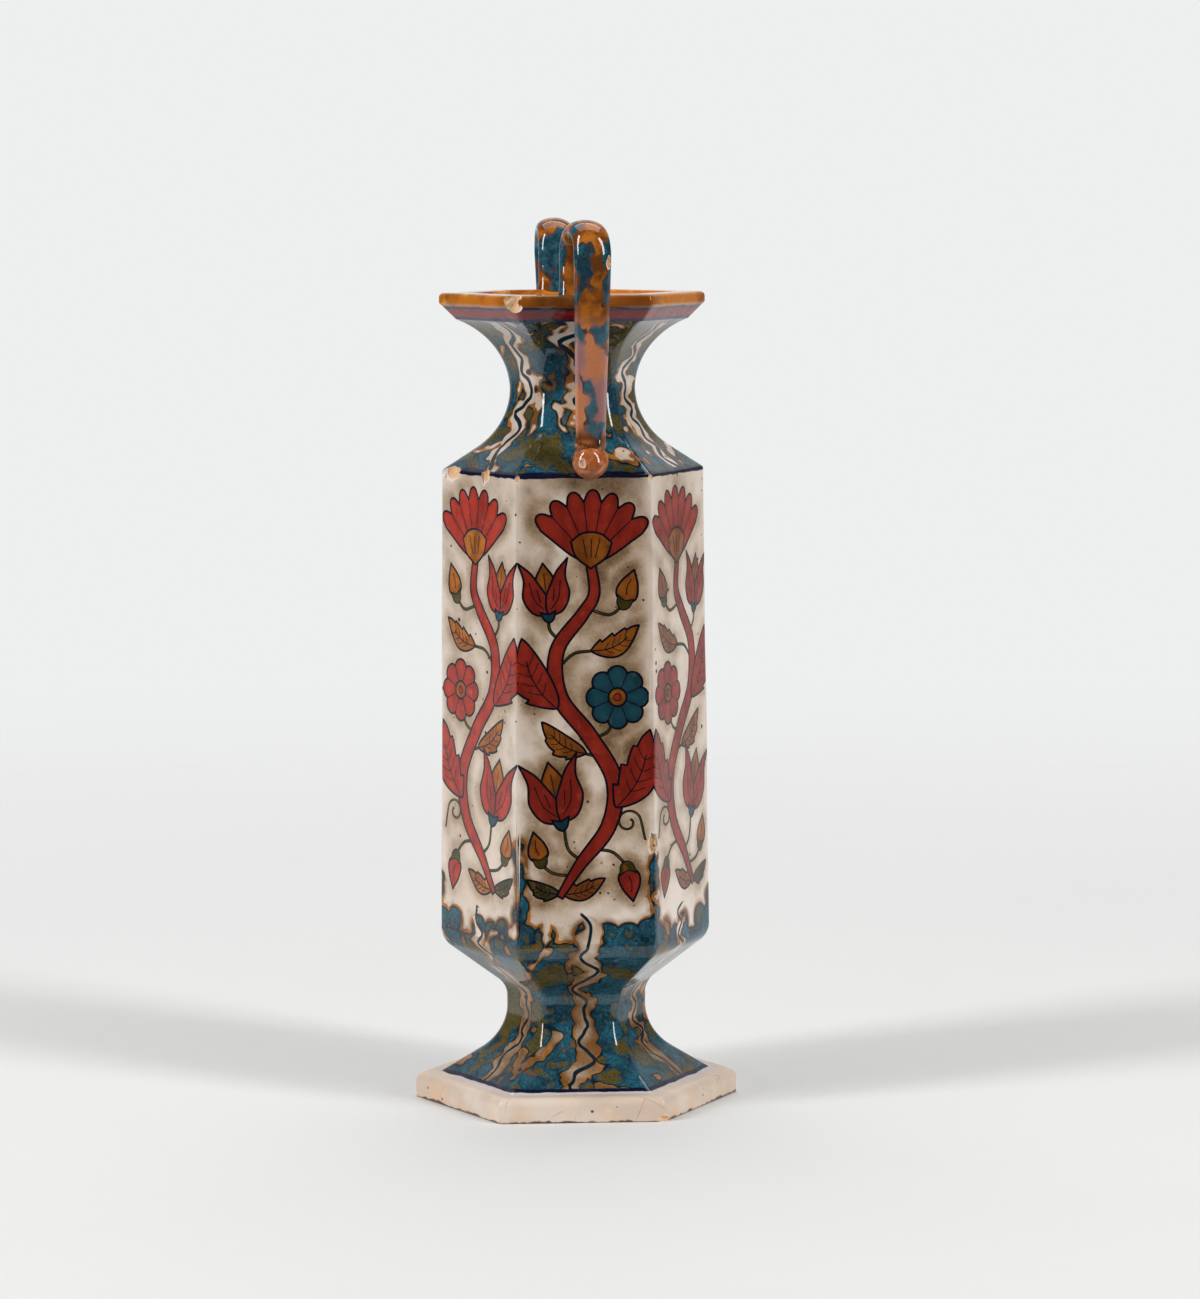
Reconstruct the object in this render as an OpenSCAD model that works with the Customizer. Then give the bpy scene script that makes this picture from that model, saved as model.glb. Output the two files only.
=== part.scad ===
// Six-sided faience vase on a waisted foot, with two looped handles that end in ball bosses.
// The vase stands on z = 0 with its axis on Z. Two faces of the body look along -Y and +Y,
// and a handle stands in the middle of each. Widths are measured across the flats.

/* [Plinth] */
// Width of the plinth across its flats
plinth_w = 95.5; // [88:0.5:110]
// Height of the plinth, from the ground to the foot
plinth_h = 8.4; // [6:0.2:14]
// Radius of the plinth's rounded upper edge
plinth_edge_r = 3; // [1:0.5:5]

/* [Foot] */
// How far the foot, where it stands on the plinth, reaches past the body's lower end
foot_over = 0.5; // [-2:0.1:3]
// Height of the foot, from the plinth to the waist
foot_h = 26.6; // [22:0.2:34]
// Height of the upright collar at the top of the foot
foot_collar_h = 3; // [1:0.5:6]
// Radius of the foot's hollow sweep
foot_sweep_r = 19; // [12:0.5:22]
// Thickness of the foot's wall
foot_wall = 6; // [4:0.5:8]
// Turn of the foot and the plinth against the body
foot_turn = -3; // [-6:0.5:6]

/* [Waist and bowl] */
// Width of the waist, where the bowl is luted to the foot
waist_w = 42; // [38:0.5:46]
// Height of the bowl, from the waist to the crease under the body
bowl_h = 20; // [16:0.5:28]
// Radius of the hollow sweep from the waist into the bowl
bowl_sweep_r = 8; // [3:0.5:12]
// Radius that rounds the crease between bowl and body
bowl_edge_r = 8; // [2:0.5:12]
// Thickness of the bowl's wall
bowl_wall = 5.5; // [4:0.5:7]
// Thickness of the floor slab inside the waist
floor_t = 6; // [4:0.5:7]
// Width of the ledge of the foot that carries the floor slab
floor_ledge = 2; // [1:0.5:3]
// Gap filled with slip between the floor slab and the bowl
floor_clearance = 0.2; // [0.1:0.05:0.4]

/* [Body] */
// Width of the body at its lower end
body_foot_w = 80; // [74:0.5:88]
// Width of the body at the shoulder
body_top_w = 77.2; // [72:0.5:84]
// Height of the six body slabs
body_h = 156; // [110:1:200]
// Thickness of the body slabs
body_wall = 6; // [4:0.5:8]

/* [Neck] */
// Height of the neck, from the shoulder to the rim band
neck_h = 50.4; // [42:0.2:64]
// Height of the throat above the shoulder
throat_h = 27.3; // [22:0.1:32]
// Width of the throat
throat_w = 38.6; // [34:0.2:46]
// Width of the neck where it meets the rim band
neck_top_w = 68.8; // [60:0.2:74]
// Radius of the sweep from the throat down to the shoulder
shoulder_sweep_r = 25; // [14:0.5:27]
// Thickness of the neck's wall
neck_wall = 5; // [3.5:0.5:6.5]

/* [Rim] */
// How far the lip reaches past the shoulder edge
rim_over = 0.65; // [-1:0.05:6]
// Width of the mouth at the top of the lip
mouth_w = 61.6; // [56:0.2:64]
// Height of the sloping band under the lip
band_h = 4.3; // [3:0.1:7]
// Height of the lip
lip_h = 4.6; // [3.6:0.1:8]
// Overhang of the lip past the band
lip_over = 1.1; // [0.4:0.1:2]
// Radius that rounds the upper edge of the lip
lip_edge_r = 1.6; // [0.5:0.1:3]

/* [Handles] */
// Height of the handles above the lip
handle_rise = 24.6; // [20:0.2:36]
// Width of the handle's oval section over the rim
handle_w = 12.4; // [9:0.2:16]
// Depth of the handle's oval section over the rim
handle_t = 7; // [5:0.2:8]
// Width of the handle's oval section at its lower end
handle_foot_w = 9.6; // [7:0.2:12]
// Depth of the handle's oval section at its lower end
handle_foot_t = 5.6; // [4:0.2:7]
// Finger room between the lip and the handle's outer limb
handle_gap = 7; // [5:0.5:14]
// Turn of the handles off the middle of their faces
handle_turn = 2.5; // [-5:0.5:5]
// Diameter of the ball boss under each handle
boss_d = 11.8; // [10:0.2:14]
// Distance of the boss's centre outside the shoulder edge
boss_out = 1.5; // [0:0.1:2.5]
// Height of the boss's centre above the shoulder edge
boss_up = 4.8; // [3.5:0.1:5.2]
// Distance from the boss's centre to the flat that carries the handle
boss_flat = 4.2; // [3:0.1:4.6]

/* [Hidden] */
$fn = 96;
handle_sides = 20;
arch_steps = 14;
sweep_steps = 10;
overcut = 1;
faces = 6;
face_angle = 360 / faces;

// Half widths, from the axis to the middle of a face
plinth_a = plinth_w / 2;
body_foot_a = body_foot_w / 2;
body_top_a = body_top_w / 2;
foot_a = body_foot_a + foot_over;
waist_a = waist_w / 2;
throat_a = throat_w / 2;
neck_top_a = neck_top_w / 2;
rim_a = body_top_a + rim_over;
mouth_a = mouth_w / 2;

// Sweeps, each limited by the height that it has to turn in
foot_rise = foot_h - foot_collar_h;
foot_r = min(foot_sweep_r, foot_rise);
bowl_r = min(bowl_sweep_r, bowl_h);
shoulder_r = min(shoulder_sweep_r, throat_h);
flare_rise = neck_h - throat_h;
flare_run = neck_top_a - throat_a;
flare_r = (flare_run * flare_run + flare_rise * flare_rise) / (2 * flare_run);
foot_pitch = skirt_pitch(foot_a, waist_a, foot_rise, foot_r);
bowl_pitch = skirt_pitch(body_foot_a, waist_a, bowl_h, bowl_r);
shoulder_pitch = skirt_pitch(body_top_a, throat_a, throat_h, shoulder_r);
crease_reach = bowl_edge_r * tan((90 - bowl_pitch) / 2);

// Levels above the ground
waist_z = plinth_h + foot_h;
body_z = waist_z + bowl_h + crease_reach;
shoulder_z = body_z + body_h;
band_z = shoulder_z + neck_h;
lip_z = band_z + band_h;
rim_z = lip_z + lip_h;

// Hollow spaces
foot_throat_in = waist_a - foot_wall;
waist_in = foot_throat_in + floor_ledge + floor_clearance;
mouth_foot_a = flare_edge(throat_a - neck_wall, flare_r + neck_wall, flare_rise);

// Handle: a limb that stands on the lip, an arch, and a limb that runs down to the boss
root_a = (mouth_a + rim_a - lip_edge_r) / 2;
arch_out_a = rim_a + handle_gap + handle_t / 2;
arch_r = (arch_out_a - root_a) / 2;
arch_centre = [root_a + arch_r, rim_z + handle_rise - handle_t / 2 - arch_r];
boss_centre = [body_top_a + boss_out, shoulder_z + boss_up];
to_boss = boss_centre - arch_centre;
limb_angle = atan2(to_boss[1], to_boss[0]) + acos(arch_r / norm(to_boss));
limb_length = sqrt(pow(norm(to_boss), 2) - arch_r * arch_r) - boss_flat;
limb_heading = [sin(limb_angle), -cos(limb_angle)];
limb_start = arch_centre + arch_r * [cos(limb_angle), sin(limb_angle)];

// Slope, above the horizontal, of the straight skirt that leaves an edge and touches a sweep
// of radius r which turns upright at the throat
function skirt_pitch(edge, throat, rise, r) =
    180 - atan2(rise, throat + r - edge) - asin(r / norm([throat + r - edge, rise]));

// Half width of a plain flare at a height above its throat
function flare_edge(throat, r, rise) = throat + r - sqrt(r * r - rise * rise);

// Points along an arc
function arc(centre, r, from, to) = [
    for (i = [0 : sweep_steps])
        let (angle = from + (to - from) * i / sweep_steps)
        centre + r * [cos(angle), sin(angle)]
];

function reversed(points) = [for (i = [len(points) - 1 : -1 : 0]) points[i]];

// Outlines of one face, as half width against height, with a wall's thickness taken off
function foot_line(wall) = concat(
    [[foot_a - wall / sin(foot_pitch), 0]],
    arc([waist_a + foot_r, foot_rise], foot_r + wall, 270 - foot_pitch, 180),
    [[waist_a - wall, foot_h]]
);

function bowl_line() = concat(
    arc([waist_a + bowl_r, 0], bowl_r, 180, 90 + bowl_pitch),
    arc([body_foot_a - bowl_edge_r, bowl_h + crease_reach], bowl_edge_r, bowl_pitch - 90, 0)
);

function neck_line(wall) = concat(
    [[body_top_a - wall / sin(shoulder_pitch), 0]],
    arc([throat_a + shoulder_r, throat_h], shoulder_r + wall, 270 - shoulder_pitch, 180),
    arc([throat_a + flare_r, throat_h], flare_r + wall, 180, 180 - asin(flare_rise / (flare_r + wall)))
);

// Line of the funnel inside the bowl, from the floor slab's seat to the inner face of the body
slope_a = body_foot_a - bowl_wall / sin(bowl_pitch);
body_in = body_foot_a - body_wall;
bowl_top = bowl_h + crease_reach;
function funnel_height(a) = bowl_h + (a - slope_a) * tan(bowl_pitch);
funnel_line = [
    [waist_in, 0], [waist_in, funnel_height(waist_in)],
    [body_in, min(bowl_top, funnel_height(body_in))], [body_in, bowl_top]
];

// Point on the outer line of the handle's arch, as distance from the axis and height
function arch_point(angle) = arch_centre + arch_r * [cos(angle), sin(angle)];

// Stations along the handle: distance from the axis, height, heading, width and depth of section
handle_stations = concat(
    [[root_a, rim_z, 90, handle_w, handle_t]],
    [for (i = [0 : arch_steps])
        let (angle = 180 + (limb_angle - 180) * i / arch_steps, p = arch_point(angle))
        [p[0], p[1], angle - 90, handle_w, handle_t]],
    [let (p = limb_start + limb_length * limb_heading)
        [p[0], p[1], limb_angle - 90, handle_foot_w, handle_foot_t]]
);

// One oval ring of the handle, square to its heading
function handle_ring(s) = [
    for (i = [0 : handle_sides - 1])
        let (angle = 360 * i / handle_sides, depth = s[4] / 2 * sin(angle))
        [s[3] / 2 * cos(angle), -(s[0] - depth * sin(s[2])), s[1] + depth * cos(s[2])]
];

// Solid with six equal faces that follows a flat outline of half width against height
module six_sided(reach) {
    intersection_for (turn = [face_angle / 2 : face_angle : 180])
        rotate([90, 0, turn])
            linear_extrude(2 * reach, center = true)
                children();
}

// Six-sided wall between an outer and an inner line of half width against height
module six_sided_wall(outer, inner) {
    rotate_extrude($fn = faces)
        polygon([
            for (p = concat(outer, reversed(inner)))
                [p[0] / cos(face_angle / 2), p[1]]
        ]);
}

// Upright outline of a given half width between two heights
module upright(half, low, high) {
    translate([-half, low])
        square([2 * half, high - low]);
}

// Both halves of an outline
module both_sides() {
    children();
    mirror([1, 0])
        children();
}

// What a rounding of radius r takes off a square corner, for the corner at the upper right
module corner_loss(corner, r) {
    difference() {
        translate([corner[0] - r, corner[1] - r])
            square(r + overcut);
        translate([corner[0] - r, corner[1] - r])
            circle(r);
    }
}

module plinth_outline() {
    difference() {
        upright(plinth_a, 0, plinth_h);
        both_sides()
            corner_loss([plinth_a, plinth_h], plinth_edge_r);
    }
}

// Rim from the neck to the top of the lip, without its hollow
module rim_outline() {
    band_a = rim_a - lip_over;
    top = band_h + lip_h;
    difference() {
        polygon([
            [-neck_top_a, 0], [neck_top_a, 0], [band_a, band_h], [rim_a, band_h + lip_over],
            [rim_a, top], [-rim_a, top], [-rim_a, band_h + lip_over], [-band_a, band_h]
        ]);
        both_sides()
            corner_loss([rim_a, top], lip_edge_r);
    }
}

module mouth_outline() {
    top = band_h + lip_h;
    polygon([[-mouth_foot_a, 0], [mouth_foot_a, 0], [mouth_a, top], [-mouth_a, top]]);
}

module plinth() {
    color("#d8cab4")
        rotate(foot_turn)
            difference() {
                six_sided(plinth_w)
                    plinth_outline();
                six_sided(plinth_w)
                    upright(foot_a - foot_wall / sin(foot_pitch), 0, plinth_h);
            }
}

module foot() {
    color("#4a7477")
        translate([0, 0, plinth_h])
            rotate(foot_turn)
                six_sided_wall(foot_line(0), foot_line(foot_wall));
}

module floor_slab() {
    color("#c9b79c")
        translate([0, 0, waist_z])
            six_sided(waist_w)
                upright(waist_in - floor_clearance, 0, floor_t);
}

module bowl() {
    color("#557a72")
        translate([0, 0, waist_z])
            six_sided_wall(bowl_line(), funnel_line);
}

// One slab of the body, mitred to its neighbours
module panel(side) {
    half = body_foot_w * tan(face_angle / 2);
    color("#b9a78c")
        translate([0, 0, body_z])
            rotate(side * face_angle - 90)
                intersection() {
                    rotate([90, 0, 0])
                        linear_extrude(2 * body_foot_w, center = true)
                            polygon([
                                [body_foot_a - body_wall, 0], [body_foot_a, 0],
                                [body_top_a, body_h], [body_top_a - body_wall, body_h]
                            ]);
                    linear_extrude(body_h)
                        polygon([[0, 0], [body_foot_w, -half], [body_foot_w, half]]);
                }
}

module neck() {
    color("#5f7f74")
        translate([0, 0, shoulder_z])
            six_sided_wall(neck_line(0), neck_line(neck_wall));
}

module rim() {
    color("#8a4a1f")
        translate([0, 0, band_z])
            difference() {
                six_sided(2 * rim_a)
                    rim_outline();
                six_sided(2 * rim_a)
                    mouth_outline();
            }
}

// Oval strap swept along the stations; turn 0 is the front
module handle(turn) {
    rings = [for (s = handle_stations) handle_ring(s)];
    last = len(rings) - 1;
    sides = [
        for (j = [0 : last - 1])
            for (i = [0 : handle_sides - 1])
                let (
                    a = j * handle_sides + i,
                    b = j * handle_sides + (i + 1) % handle_sides
                )
                each [[a, b, a + handle_sides], [b, b + handle_sides, a + handle_sides]]
    ];
    root_cap = [for (i = [handle_sides - 1 : -1 : 0]) i];
    foot_cap = [for (i = [0 : handle_sides - 1]) last * handle_sides + i];
    color("#a8601f")
        rotate(turn + handle_turn)
            polyhedron([for (r = rings) each r], concat([root_cap], sides, [foot_cap]));
}

// What the shoulder and the body slab take off the back of a boss
module boss_seat() {
    slab_run = boss_d * (body_foot_a - body_top_a) / body_h;
    shoulder_rise = body_top_a * tan(shoulder_pitch);
    translate([0, 0, shoulder_z])
        rotate([90, 0, -90])
            linear_extrude(2 * boss_d, center = true)
                polygon([
                    [0, -boss_d], [body_top_a + slab_run, -boss_d], [body_top_a, 0], [0, shoulder_rise]
                ]);
}

// Ball boss, flat under the handle and seated on the shoulder and the body slab
module boss(turn) {
    color("#b5651d")
        rotate(turn)
            difference() {
                rotate(handle_turn)
                    translate([0, -boss_centre[0], boss_centre[1]])
                        difference() {
                            sphere(d = boss_d);
                            rotate([-limb_angle, 0, 0])
                                translate([-boss_d, -boss_d, boss_flat])
                                    cube(2 * boss_d);
                        }
                boss_seat();
            }
}

plinth();
foot();
floor_slab();  // floor
bowl();
panel(0);  // panel_front
panel(1);  // panel_front_right
panel(2);  // panel_back_right
panel(3);  // panel_back
panel(4);  // panel_back_left
panel(5);  // panel_front_left
neck();
rim();
handle(0);  // handle_front
handle(180);  // handle_back
boss(0);  // boss_front
boss(180);  // boss_back
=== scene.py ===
"""Looks of the six-sided faience vase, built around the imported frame.

Lengths are in millimetres until a mesh is made. Half widths run from the axis to the middle of
a face, and face 0 looks along -Y, as in the part's source.
"""
import math
from functools import cached_property, partialmethod, reduce

import bmesh
import bpy
import numpy as np
from mathutils import Matrix, Vector, kdtree, noise
from mathutils.geometry import delaunay_2d_cdt


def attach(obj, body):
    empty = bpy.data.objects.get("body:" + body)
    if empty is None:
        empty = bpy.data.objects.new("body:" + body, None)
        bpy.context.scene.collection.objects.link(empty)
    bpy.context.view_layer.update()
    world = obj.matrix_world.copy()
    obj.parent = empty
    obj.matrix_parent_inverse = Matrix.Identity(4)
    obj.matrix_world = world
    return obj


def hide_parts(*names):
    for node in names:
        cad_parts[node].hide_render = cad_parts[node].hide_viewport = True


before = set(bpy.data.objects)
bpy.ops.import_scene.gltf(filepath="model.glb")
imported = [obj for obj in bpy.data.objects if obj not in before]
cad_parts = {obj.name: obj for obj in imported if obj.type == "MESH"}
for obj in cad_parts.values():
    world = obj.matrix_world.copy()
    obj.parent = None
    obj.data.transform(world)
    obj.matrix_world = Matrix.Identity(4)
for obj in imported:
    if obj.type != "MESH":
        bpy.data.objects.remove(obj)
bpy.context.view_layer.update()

MM = 0.001
FACES = 6
FACE_TURN = 360 / FACES
TAN30 = math.tan(math.radians(FACE_TURN / 2))

# Sizes of the part's source
PLINTH_A, PLINTH_H, PLINTH_EDGE_R = 47.75, 8.4, 3.0
FOOT_A, FOOT_H, FOOT_COLLAR_H, FOOT_R, FOOT_WALL, FOOT_TURN = 40.5, 26.6, 3.0, 19.0, 6.0, -3.0
WAIST_A, BOWL_H, BOWL_R, BOWL_EDGE_R, BOWL_WALL, WAIST_IN = 21.0, 20.0, 8.0, 8.0, 5.5, 17.2
BODY_FOOT_A, BODY_TOP_A, BODY_H, BODY_WALL = 40.0, 38.6, 156.0, 6.0
NECK_H, THROAT_H, THROAT_A, NECK_TOP_A, SHOULDER_R, NECK_WALL = 50.4, 27.3, 19.3, 34.4, 25.0, 5.0
RIM_A, MOUTH_A, BAND_H, LIP_H, LIP_OVER, LIP_EDGE_R = 39.25, 30.8, 4.3, 4.6, 1.1, 1.6
HANDLE_RISE, HANDLE_W, HANDLE_T, HANDLE_GAP, HANDLE_TURN = 24.6, 12.4, 7.0, 7.0, 2.5
HANDLE_FOOT_W, HANDLE_FOOT_T = 9.6, 5.6
BOSS_R, BOSS_OUT, BOSS_UP, BOSS_FLAT = 5.9, 1.5, 4.8, 4.2


def skirt_pitch(edge, throat, rise, r):
    """Slope of the straight skirt from an edge to a sweep that turns upright at the throat."""
    run = throat + r - edge
    return 180 - math.degrees(math.atan2(rise, run)) - math.degrees(math.asin(r / math.hypot(run, rise)))


FOOT_PITCH = skirt_pitch(FOOT_A, WAIST_A, FOOT_H - FOOT_COLLAR_H, FOOT_R)
BOWL_PITCH = skirt_pitch(BODY_FOOT_A, WAIST_A, BOWL_H, BOWL_R)
SHOULDER_PITCH = skirt_pitch(BODY_TOP_A, THROAT_A, THROAT_H, SHOULDER_R)
CREASE = BOWL_EDGE_R * math.tan(math.radians((90 - BOWL_PITCH) / 2))
FLARE_RISE = NECK_H - THROAT_H
FLARE_RUN = NECK_TOP_A - THROAT_A
FLARE_R = (FLARE_RUN ** 2 + FLARE_RISE ** 2) / (2 * FLARE_RUN)

WAIST_Z = PLINTH_H + FOOT_H
BODY_Z = WAIST_Z + BOWL_H + CREASE
SHOULDER_Z = BODY_Z + BODY_H
THROAT_Z = SHOULDER_Z + THROAT_H
BAND_Z = SHOULDER_Z + NECK_H
LIP_Z = BAND_Z + BAND_H
RIM_Z = LIP_Z + LIP_H
MOUTH_FOOT_A = THROAT_A + FLARE_R - math.sqrt((FLARE_R + NECK_WALL) ** 2 - FLARE_RISE ** 2)

# Rounding of the arrises against height, and the greatest share of the half width that it takes
ARRIS_LEVELS = (PLINTH_H, 18, WAIST_Z, BODY_Z, SHOULDER_Z, 222, THROAT_Z, BAND_Z, RIM_Z)
ARRIS_RADII = (1.6, 5.0, 4.0, 2.4, 2.4, 5.5, 7.0, 2.4, 1.9)
ARRIS_SHARE = 0.4
PLINTH_ARRIS, BODY_ARRIS, SHOULDER_EDGE_R = 2.0, 2.4, 1.2
LINE_STEP, FLAT_STEPS, ARC_STEPS = 1.3, 16, 10

# Slow drift of hand-cut clay: its reach, the length of its waves, the height where it is free, its seed
DRIFT, DRIFT_WAVE, DRIFT_FREE_HEIGHT, DRIFT_SEED = 0.28, 34.0, 9.0, 7
noise.seed_set(DRIFT_SEED)


def drifted(point):
    """The point moved as hand-built clay strays from true. The underside stays flat."""
    free = min(1.0, max(0.0, point.z / DRIFT_FREE_HEIGHT))
    return point + noise.noise_vector(point / DRIFT_WAVE) * DRIFT * free


def about_axis(degrees):
    return Matrix.Rotation(math.radians(degrees), 3, "Z")


def polar(r, degrees):
    t = math.radians(degrees)
    return r * math.cos(t), r * math.sin(t)


# Lines of half width against height


def arc(centre, r, start, end, steps=12):
    sweep = [polar(r, start + (end - start) * i / steps) for i in range(steps + 1)]
    return [(centre[0] + x, centre[1] + y) for x, y in sweep]


def fillet(before, corner, after, r, steps=8):
    """Points that round a corner between two straight lines."""
    p, q, s = (np.array(x, float) for x in (before, corner, after))
    d1 = (p - q) / np.linalg.norm(p - q)
    d2 = (s - q) / np.linalg.norm(s - q)
    half = math.acos(max(-1.0, min(1.0, float(d1 @ d2)))) / 2
    reach = r / math.tan(half)
    centre = q + (d1 + d2) / np.linalg.norm(d1 + d2) * r / math.sin(half)
    start, end = (math.degrees(math.atan2(y, x)) for x, y in (q + d * reach - centre for d in (d1, d2)))
    turn = (end - start + 180) % 360 - 180
    return arc(centre, r, start, start + turn, steps)


def rounded(points, radii):
    """An open line whose inner corners are rounded by the radii."""
    line = [points[0]]
    for before, corner, after, r in zip(points, points[1:], points[2:], radii):
        line += fillet(before, corner, after, r)
    return line + [points[-1]]


def densified(line, step=LINE_STEP):
    """The line with more points, so that no stretch is longer than a step."""
    made = [line[0]]
    for p, q in zip(line, line[1:]):
        parts = math.ceil(math.dist(p, q) / step)
        shares = [i / parts for i in range(1, parts + 1)] if math.dist(p, q) > 1e-6 else []
        made += [(p[0] + (q[0] - p[0]) * s, p[1] + (q[1] - p[1]) * s) for s in shares]
    return made


def foot_line(wall):
    start = (FOOT_A - wall / math.sin(math.radians(FOOT_PITCH)), PLINTH_H)
    sweep = arc((WAIST_A + FOOT_R, WAIST_Z - FOOT_COLLAR_H), FOOT_R + wall, 270 - FOOT_PITCH, 180)
    return [start] + sweep + [(WAIST_A - wall, WAIST_Z)]


def bowl_line():
    sweep = arc((WAIST_A + BOWL_R, WAIST_Z), BOWL_R, 180, 90 + BOWL_PITCH)
    return sweep + arc((BODY_FOOT_A - BOWL_EDGE_R, BODY_Z), BOWL_EDGE_R, BOWL_PITCH - 90, 0)


def funnel_line():
    """Inner line of the bowl."""
    slope_a = BODY_FOOT_A - BOWL_WALL / math.sin(math.radians(BOWL_PITCH))
    body_in = BODY_FOOT_A - BODY_WALL
    rise = math.tan(math.radians(BOWL_PITCH))
    low = WAIST_Z + BOWL_H + (WAIST_IN - slope_a) * rise
    high = min(BODY_Z, WAIST_Z + BOWL_H + (body_in - slope_a) * rise)
    return [(WAIST_IN, WAIST_Z), (WAIST_IN, low), (body_in, high), (body_in, BODY_Z)]


def neck_line(wall):
    start = (BODY_TOP_A - wall / math.sin(math.radians(SHOULDER_PITCH)), SHOULDER_Z)
    lower = arc((THROAT_A + SHOULDER_R, THROAT_Z), SHOULDER_R + wall, 270 - SHOULDER_PITCH, 180, 20)
    top = 180 - math.degrees(math.asin(FLARE_RISE / (FLARE_R + wall)))
    return [start] + lower + arc((THROAT_A + FLARE_R, THROAT_Z), FLARE_R + wall, 180, top, 20)


SHOULDER_ROUND = fillet((BODY_FOOT_A, BODY_Z), (BODY_TOP_A, SHOULDER_Z), neck_line(0)[1], SHOULDER_EDGE_R)
SHOULDER_SPLIT = len(SHOULDER_ROUND) // 2

# Mesh making


def new_piece(name, points, faces, materials, face_slots, sharp_degrees=38):
    """A mesh object from points in millimetres."""
    mesh = bpy.data.meshes.new(name)
    mesh.from_pydata([p * MM for p in points], [], faces)
    for material in materials:
        mesh.materials.append(material)
    mesh.polygons.foreach_set("material_index", np.array(face_slots, np.int32))
    mesh.shade_smooth()
    mesh.set_sharp_from_angle(angle=math.radians(sharp_degrees))
    mesh.update()
    piece = bpy.data.objects.new(name, mesh)
    bpy.context.scene.collection.objects.link(piece)
    return piece


def face_axes(side):
    """Outward and rightward directions of a face."""
    x, y = polar(1.0, side * FACE_TURN - 90)
    return Vector((x, y, 0)), Vector((-y, x, 0))


def section_ring(a, z, arris):
    """Points round a six-sided section with rounded arrises."""
    half = (a - arris) * TAN30
    ring = []
    for side in range(FACES):
        out, right = face_axes(side)
        ring += [out * a + right * half * (2 * i / FLAT_STEPS - 1) for i in range(FLAT_STEPS + 1)]
        hub = out * (a - arris) + right * half
        for j in range(1, ARC_STEPS):
            ahead, aside = polar(1.0, FACE_TURN * j / ARC_STEPS)
            ring.append(hub + (out * ahead + right * aside) * arris)
    return [Vector((p.x, p.y, z)) for p in ring]


def swept_shell(name, outer, inner, materials, arris=None, turn=0.0):
    """A closed six-sided wall. Outer faces take the first material, the rest the last."""
    line = outer + inner[::-1]
    points, faces, slots = [], [], []
    for a, z in line:
        r = arris if arris else float(np.interp(z, ARRIS_LEVELS, ARRIS_RADII))
        points += [drifted(about_axis(turn) @ p) for p in section_ring(a, z, min(r, a * ARRIS_SHARE))]
    count = len(points) // len(line)
    for i in range(len(line)):
        low, high = i * count, (i + 1) % len(line) * count
        for j in range(count):
            k = (j + 1) % count
            faces.append((low + j, low + k, high + k, high + j))
            slots.append(0 if i < len(outer) - 1 else len(materials) - 1)
    return new_piece(name, points, faces, materials, slots)


# Node shorthand

GLAZE_IOR = 1.56


class Field:
    """A value that varies over a surface, reckoned with like a number."""

    def __init__(self, glaze, socket):
        self.glaze = glaze
        self.socket = socket

    def reckon(self, operation, other=0.0):
        return self.glaze.field("Math", {0: self, 1: other}, operation=operation)

    __add__ = partialmethod(reckon, "ADD")
    __sub__ = partialmethod(reckon, "SUBTRACT")
    __mul__ = partialmethod(reckon, "MULTIPLY")
    __truediv__ = partialmethod(reckon, "DIVIDE")
    __abs__ = partialmethod(reckon, "ABSOLUTE")
    at_most = partialmethod(reckon, "MINIMUM")
    at_least = partialmethod(reckon, "MAXIMUM")

    def scaled(self, low, high, to_low, to_high, **settings):
        ranges = {"Value": self, "From Min": low, "From Max": high, "To Min": to_low, "To Max": to_high}
        return self.glaze.field("MapRange", ranges, **settings)

    def step(self, low, high):
        """0 at low and 1 at high, smooth between them."""
        return self.scaled(low, high, 0.0, 1.0, interpolation_type="SMOOTHSTEP")


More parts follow.
